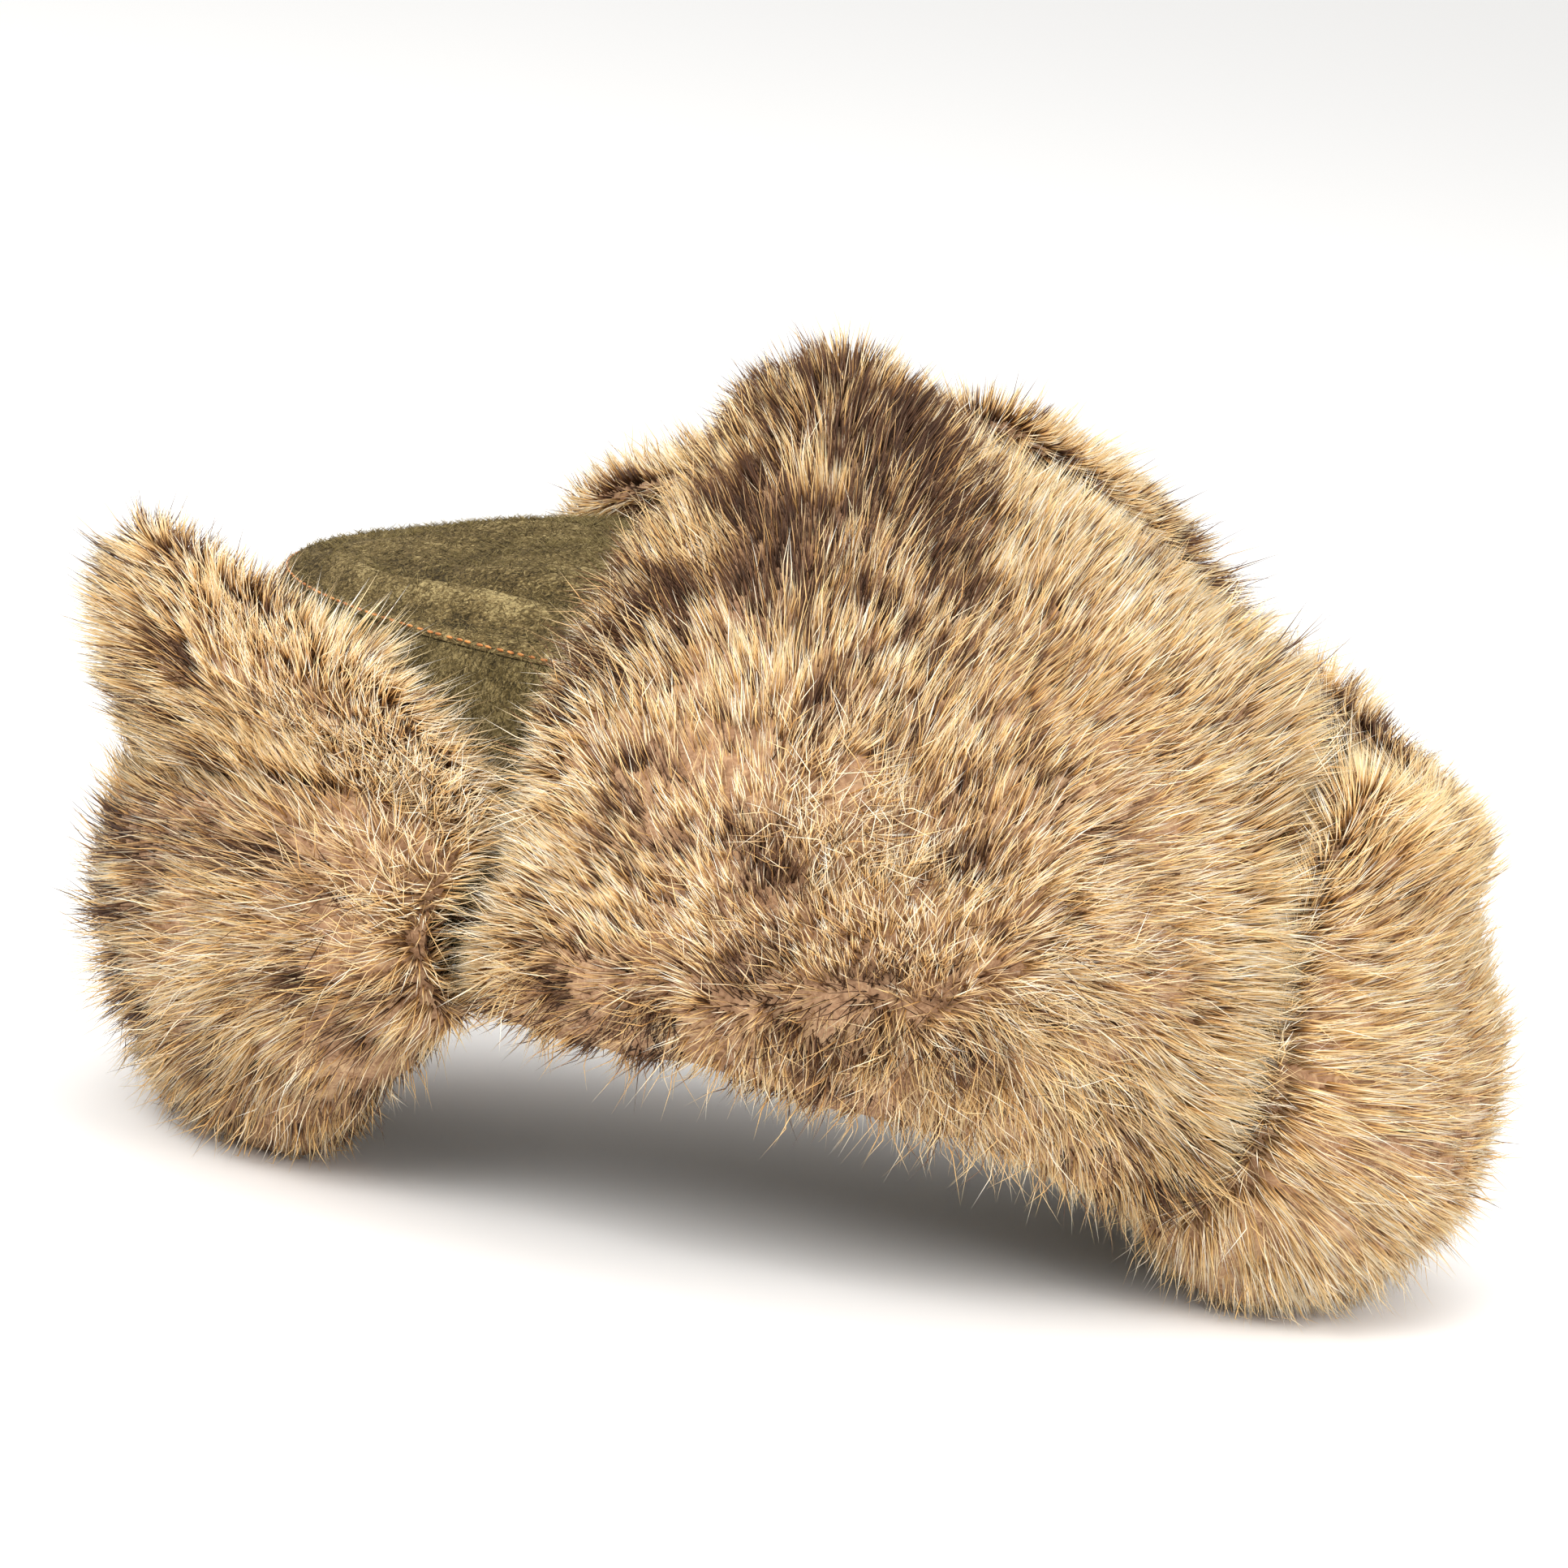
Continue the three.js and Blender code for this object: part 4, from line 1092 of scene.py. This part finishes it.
    def roots(self, hair: Hair, count: int, rng: np.random.Generator) -> tuple[Array, Array]:
        """Random places for the hairs, denser at the skin's turned edges and where long hairs fly loose.

        Args:
            hair: The kind of hair.
            count: How many.
            rng: The seeded source of numbers.

        Returns:
            Places across and up the flap.
        """
        cells = 90
        side, top = self.margins()
        columns = -side + (np.arange(cells) + 0.5) / cells * (1 + 2 * side)
        rows = (np.arange(cells) + 0.5) / cells * (1 + top)
        up, across = np.meshgrid(rows, columns, indexing="ij")
        wide, tall = self.flap.stretch(np.clip(across, 0, 1), np.clip(up, 0, 1))
        near = np.minimum.reduce([across * wide, (1 - across) * wide, (1 - up) * tall, up * tall])
        share = wide * tall * (1 + 0.5 * np.exp(-np.abs(near) / 5))
        loose = self.flap.combing(np.clip(across, 0, 1).ravel(), np.clip(up, 0, 1).ravel())["loose"]
        share = share * (1 + hair.fly * loose.reshape(share.shape))
        chosen = rng.choice(cells * cells, count, p=(share / share.sum()).ravel())
        jitter = rng.uniform(0, 1, (2, count))
        across = -side + (chosen % cells + jitter[0]) / cells * (1 + 2 * side)
        return across, (chosen // cells + jitter[1]) / cells * (1 + top)

    def gatherings(self, across: Array, up: Array, spacing: float,
                   rng: np.random.Generator) -> tuple[Array, Array, Array]:
        """Sorts the hairs into tufts round the points of a jittered grid.

        Args:
            across: The hairs' places across.
            up: The hairs' places up.
            spacing: Millimetres between tufts.
            rng: The seeded source of numbers.

        Returns:
            Each hair's tuft number, and the tufts' places across and up.
        """
        wide, tall = self.flap.size()
        side, top = self.margins()
        columns, rows = round(wide * (1 + 2 * side) / spacing), round(tall * (1 + top) / spacing)
        grid = np.stack(np.meshgrid(np.arange(columns), np.arange(rows)), -1)
        grid = grid + rng.uniform(0.1, 0.9, (rows, columns, 2))
        x, y = (across + side) / (1 + 2 * side) * columns, up / (1 + top) * rows
        best, number = np.full(len(across), 1e9), np.zeros(len(across), int)
        for step_x, step_y in ((a, b) for a in (-1, 0, 1) for b in (-1, 0, 1)):
            column = np.clip(x.astype(int) + step_x, 0, columns - 1)
            row = np.clip(y.astype(int) + step_y, 0, rows - 1)
            away = np.sum((grid[row, column] - np.stack([x, y], -1)) ** 2, -1)
            closer = away < best
            best = np.where(closer, away, best)
            number = np.where(closer, row * columns + column, number)
        centres = grid.reshape(-1, 2) * np.array([(1 + 2 * side) / columns, (1 + top) / rows])
        return number, centres[:, 0] - side, centres[:, 1]

    def paths(self, across: Array, up: Array, style: dict[str, Array], hair: Hair) -> Array:
        """Leans each hair from the skin along its combing, and outwards near the flap's edges.

        Args:
            across: Places across.
            up: Places up.
            style: Each hair's length, turn, lie and curl.
            hair: The kind of hair.

        Returns:
            Points of hairs, steps and coordinates.
        """
        skin, facing, upward, sideways = self.skin(across, up)
        wide, tall = self.flap.stretch(np.clip(across, 0, 1), np.clip(up, 0, 1))
        to_side = np.maximum(0, np.where(across < 0.5, across, 1 - across)) * wide
        to_top = np.maximum(0, 1 - up) * tall
        nearer = np.where(across < 0.5, -1.0, 1.0)[:, None]
        beyond = nearer * sideways * np.exp(-to_side / self.splay_reach)[:, None]
        beyond = beyond + upward * np.exp(-to_top / self.splay_reach)[:, None]
        beyond = beyond - upward * self.hem_splay * np.exp(-up * tall / self.splay_reach)[:, None]
        turn = np.radians(style["turn"])[:, None]
        flow = upward * np.cos(turn) + sideways * np.sin(turn)
        cross = np.cross(facing, flow)
        edge = np.minimum(1, np.linalg.norm(beyond, axis=-1, keepdims=True))
        point = skin - facing * hair.buried
        points = [point]
        for share in (np.arange(hair.segments) + 0.5) / hair.segments:
            tilt = np.radians(style["lie"] * (0.6 + 0.4 * share if hair.segments > 1 else 1.0))[:, None]
            heading = facing * np.cos(tilt) + flow * np.sin(tilt) * (1 - 0.5 * edge)
            heading = heading + beyond * self.splay
            heading = heading + cross * style["curl"][:, None] * (share - 0.3)
            point = point + unit(heading) * (style["length"] / hair.segments)[:, None]
            points.append(point)
        return np.stack(points, 1)

    def style(self, across: Array, up: Array, hair: Hair, mood: Array) -> dict[str, Array]:
        """Sizes and directions of hairs, from the flap's combing and each hair's mood.

        Args:
            across: Places across.
            up: Places up.
            hair: The kind of hair.
            mood: Five columns of random departures, for turn, lie, length, curl and tone.

        Returns:
            Length, turn, lie, curl, dark, gold and loose by name.
        """
        inner_across, inner_up = np.clip(across, 0, 1), np.clip(up, 0, 1)
        comb = self.flap.combing(inner_across, inner_up)
        low, high = hair.length
        loose = comb["loose"]
        length = (low + high) / 2 * (1 + 0.16 * mood[:, 2]) * (1 + hair.fly * loose)
        length = length * self.shag * (0.8 + 0.2 * self.fullness(inner_across, inner_up))
        grown = np.clip(inner_up / self.hem_reach, 0, 1)
        length = length * (self.hem_length + (1 - self.hem_length) * grown)
        far = inner_across if self.flap.middle == 90 else np.maximum(inner_across, 1 - inner_across)
        meeting = self.flap.overlap * np.clip((far - 0.86) / 0.1, 0, 1)
        length = np.clip(length * (1 + meeting), low * 0.6, high * (1.2 + hair.fly) * self.shag)
        lie = comb["lie"] + hair.lean + mood[:, 1] * (1 + 1.2 * loose)
        flattest = np.degrees(np.arccos(np.minimum(1, self.reach / length)))
        return {
            "length": length,
            "turn": comb["turn"] + mood[:, 0] * (1 + 5 * loose**2),
            "lie": np.clip(lie, np.maximum(8, flattest), 86),
            "curl": hair.wave * mood[:, 3] * (1 + loose),
            "dark": comb["dark"], "gold": comb["gold"], "loose": loose,
        }

    def build_hair(self, hair: Hair, count: int, seed: int, material: bpy.types.Material) -> None:
        """Builds one piece of hairs: thin three-sided spikes along gathered paths.

        Args:
            hair: The kind of hair.
            count: How many.
            seed: Starts the random numbers.
            material: The hair's material.
        """
        rng = np.random.default_rng(seed)
        across, up = self.roots(hair, count, rng)
        mood = rng.normal(0, 1, (count, 5)) * np.array([hair.stray, hair.stray * 0.8, 1, 1, 0.5])
        pulls, clump = [], np.zeros(count)
        for spacing, swing, pull in ((self.lock, 6.0, 0.1), (self.tuft, 5.0, hair.gather)):
            number, centre_across, centre_up = self.gatherings(across, up, spacing, rng)
            swings = rng.normal(0, 1, (len(centre_across), 5))
            swings = swings * np.array([swing, swing * 1.2, 0.6, 0.6, 0.5])
            mood, clump = mood + swings[number], clump + swings[number, 4]
            pulls.append((number, centre_across, centre_up, swings, pull))
        style = self.style(across, up, hair, mood)
        path = self.paths(across, up, style, hair)
        share = np.linspace(0, 1, hair.segments + 1)
        for number, centre_across, centre_up, swings, pull in pulls:
            leading = self.style(centre_across, centre_up, hair, swings)
            lead = self.paths(centre_across, centre_up, leading, hair)
            hold = pull * rng.uniform(0.4, 1.1, (count, 1, 1)) * (share**1.3)[None, :, None]
            hold = hold * (1 - 0.8 * style["loose"])[:, None, None]
            path = path + (lead[number] - path) * hold
        path[..., 2] = np.maximum(path[..., 2], self.floor + 0.4)
        place = self.tone(across, up, mood, clump, style, hair, rng)
        hairs = spikes(f"{self.flap.name}_{hair.label}", path, hair, place, rng, self.floor)
        hairs.data.materials.append(material)

    def tone(self, across: Array, up: Array, mood: Array, clump: Array, style: dict[str, Array],
             hair: Hair, rng: np.random.Generator) -> Array:
        """Picks each hair's colour: a fourth of the map for its kind, and the place in it for its tone.

        Args:
            across: Places across.
            up: Places up.
            mood: Each hair's random departures.
            clump: The departure in tone of each hair's lock and tuft.
            style: Each hair's dark, gold and loose shares.
            hair: The kind of hair.
            rng: The seeded source of numbers.

        Returns:
            The hairs' places up the map.
        """
        same = np.random.default_rng(self.seed + 9)
        patch = layered(across, up, self.flap.size(), self.mottles, same)
        dark = style["dark"] + (patch + 0.6 * clump) * (0.15 + 0.8 * style["dark"])
        luck = rng.uniform(0, 1, (3, len(mood)))
        brown = luck[0] < np.clip(1.6 * (dark - 0.36), 0.03, 0.9) * hair.dusk
        down = luck[1] < 0.12 + 0.42 * style["loose"]
        golden = luck[2] < 0.2 + 0.7 * style["gold"]
        kind = np.where(brown, 2, np.where(down, 3, np.where(golden, 0, 1)))
        tone = 0.17 + 0.5 * dark + 0.15 * mood[:, 4]
        return (kind + np.clip(tone, 0.02, 0.98)) / 4

    def build(self, skin: bpy.types.Material, hair: bpy.types.Material) -> None:
        """Builds the skin and both kinds of hair.

        Args:
            skin: The underfur's material.
            hair: The hair's material.
        """
        self.build_skin(skin)
        self.build_hair(PILE, self.pile, self.seed, hair)
        self.build_hair(GUARD_HAIR, self.guard, self.seed + 1, hair)


@dataclass
class FlapTie:
    """The short hidden cord between the tips of the ear flaps: a tube with three twisted plies."""

    radius: float = 2.7
    ply: float = 0.35
    plies: int = 3
    twist: float = 9.0
    rings: int = 40
    sides: int = 24
    finish: ThreadFinish = field(
        default_factory=lambda: ThreadFinish("cotton_tie_cord", "#2E2A1D", "#4A4433"))

    def build(self) -> None:
        """Builds the tube: circles between two points, whose radius swells three times as it twists."""
        ends = []
        for flap, across in ((LEFT_EAR, 0.36), (RIGHT_EAR, 0.5)):
            place = (np.array(across), np.array(0.95))
            ends.append(flap.sheet(*place) - 0.2 * flap.axes(*place)[0])
        along = np.linspace(0, 1, self.rings)[:, None, None]
        turn = np.linspace(0, 2 * np.pi, self.sides, endpoint=False)[None, :]
        axis = unit(ends[1] - ends[0])
        first = unit(np.cross(axis, np.array([1.0, 0, 0])))
        second = np.cross(axis, first)
        swell = self.radius + self.ply * np.cos(self.plies * (turn + self.twist * along[..., 0]))
        rings = ends[0] + (ends[1] - ends[0]) * along + swell[..., None] * (
            first * np.cos(turn)[..., None] + second * np.sin(turn)[..., None])
        points = np.concatenate([rings.reshape(-1, 3), ends[0][None], ends[1][None]])
        fans = end_fans(self.sides, (self.rings - 1) * self.sides, self.rings * self.sides)
        faces = [grid_faces(self.rings, self.sides, True), fans]
        cord = add_piece("ear_flap_tie", points, faces, ("flap_tie",))
        cord.data.materials.append(self.finish.make())


@dataclass
class Studio:
    """A pale floor, soft lights and the camera at the photograph's angle."""

    azimuth: float = -5.0
    elevation: float = 12.0
    roll_right: float = 0.1633
    distance: float = 1.6
    lens: float = 156.9
    aim: tuple[float, float, float] = (50.5, 2.1, 98.0)
    floor_size: float = 14.0

    def add_floor(self) -> None:
        """Lays a flat pale floor."""
        half = self.floor_size / 2
        mesh = bpy.data.meshes.new("floor")
        corners = [(-half, -half, 0), (half, -half, 0), (half, half, 0), (-half, half, 0)]
        mesh.from_pydata(corners, [], [(0, 1, 2, 3)])
        floor = bpy.data.objects.new("floor", mesh)
        bpy.context.scene.collection.objects.link(floor)
        material = bpy.data.materials.new("white_card")
        material.use_nodes = True
        inputs = material.node_tree.nodes["Principled BSDF"].inputs
        inputs["Base Color"].default_value, inputs["Roughness"].default_value = linear("#FAF9F7"), 0.9
        mesh.materials.append(material)

    def add_light(self, name: str, place: tuple[float, float, float], size: float, power: float) -> None:
        """Adds a square lamp that faces the cap.

        Args:
            name: The lamp's name.
            place: Where it stands, in metres.
            size: Its side, in metres.
            power: Its power in watts.
        """
        lamp = bpy.data.lights.new(name, "AREA")
        lamp.size, lamp.energy = size, power
        lamp_object = bpy.data.objects.new(name, lamp)
        lamp_object.location = place
        towards = Vector((0, 0, 0.1)) - Vector(place)
        lamp_object.rotation_euler = towards.to_track_quat("-Z", "Y").to_euler()
        bpy.context.scene.collection.objects.link(lamp_object)

    def add_camera(self) -> None:
        """Stands the camera at the photograph's angle, with its small roll."""
        turn, tilt = math.radians(self.azimuth), math.radians(self.elevation)
        ahead = Vector((-math.sin(turn) * math.cos(tilt), math.cos(turn) * math.cos(tilt), -math.sin(tilt)))
        level = Vector((math.cos(turn), math.sin(turn), 0))
        upright = level.cross(ahead)
        keep = math.sqrt(1 - self.roll_right**2)
        right = level * keep + upright * self.roll_right
        above = upright * keep - level * self.roll_right
        camera = bpy.data.cameras.new("camera")
        camera.lens = self.lens
        stand = bpy.data.objects.new("camera", camera)
        place = Vector((np.array(self.aim) + SHIFT) / 1000) - ahead * self.distance
        basis = Matrix((right, above, -ahead)).transposed()
        stand.matrix_world = Matrix.Translation(place) @ basis.to_4x4()
        bpy.context.scene.collection.objects.link(stand)
        bpy.context.scene.camera = stand

    def build(self) -> None:
        """Builds the floor, the lights, the surroundings and the camera."""
        self.add_floor()
        self.add_light("key_softbox", (-1.1, -1.6, 1.5), 1.2, 46)
        self.add_light("fill_softbox", (1.4, -1.2, 1.0), 1.4, 21)
        self.add_light("top_softbox", (0.2, 0.3, 1.9), 1.6, 14)
        world = bpy.data.worlds.new("surroundings")
        world.use_nodes = True
        background = world.node_tree.nodes["Background"]
        background.inputs[0].default_value = linear("#FFFFFF")
        background.inputs[1].default_value = 0.85
        bpy.context.scene.world = world
        bpy.context.scene.view_settings.view_transform = "Standard"
        self.add_camera()


def main() -> None:
    """Builds the whole cap and its studio."""
    logging.basicConfig(level=logging.INFO, format="%(message)s")
    Studio().build()
    CrownPanels().build()
    backing = FeltFinish("wool_felt_backing", (1500, 1500, 900), "#2E2719", "#4C4229", "#6E6241").make()
    skin, hair = SkinFinish().make(), HairFinish().make()
    furs = (
        FlapFur(LEFT_EAR, 46000, 8000, 37),
        FlapFur(RIGHT_EAR, 31000, 3500, 51),
        FlapFur(FRONT, 33000, 6500, 11, skin_depth=10.5, shag=1.15),
        FlapFur(NECK, 27000, 4000, 23, skin_depth=10.0),
    )
    for fur in furs:
        FlapBacking(fur.flap).build(backing)
        fur.build(skin, hair)
    FlapTie().build()
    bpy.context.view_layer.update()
    for item in bpy.data.objects:
        if item.type == "MESH":
            LOG.info("%s: %d faces", item.name, len(item.data.polygons))


if __name__ == "__main__":
    main()
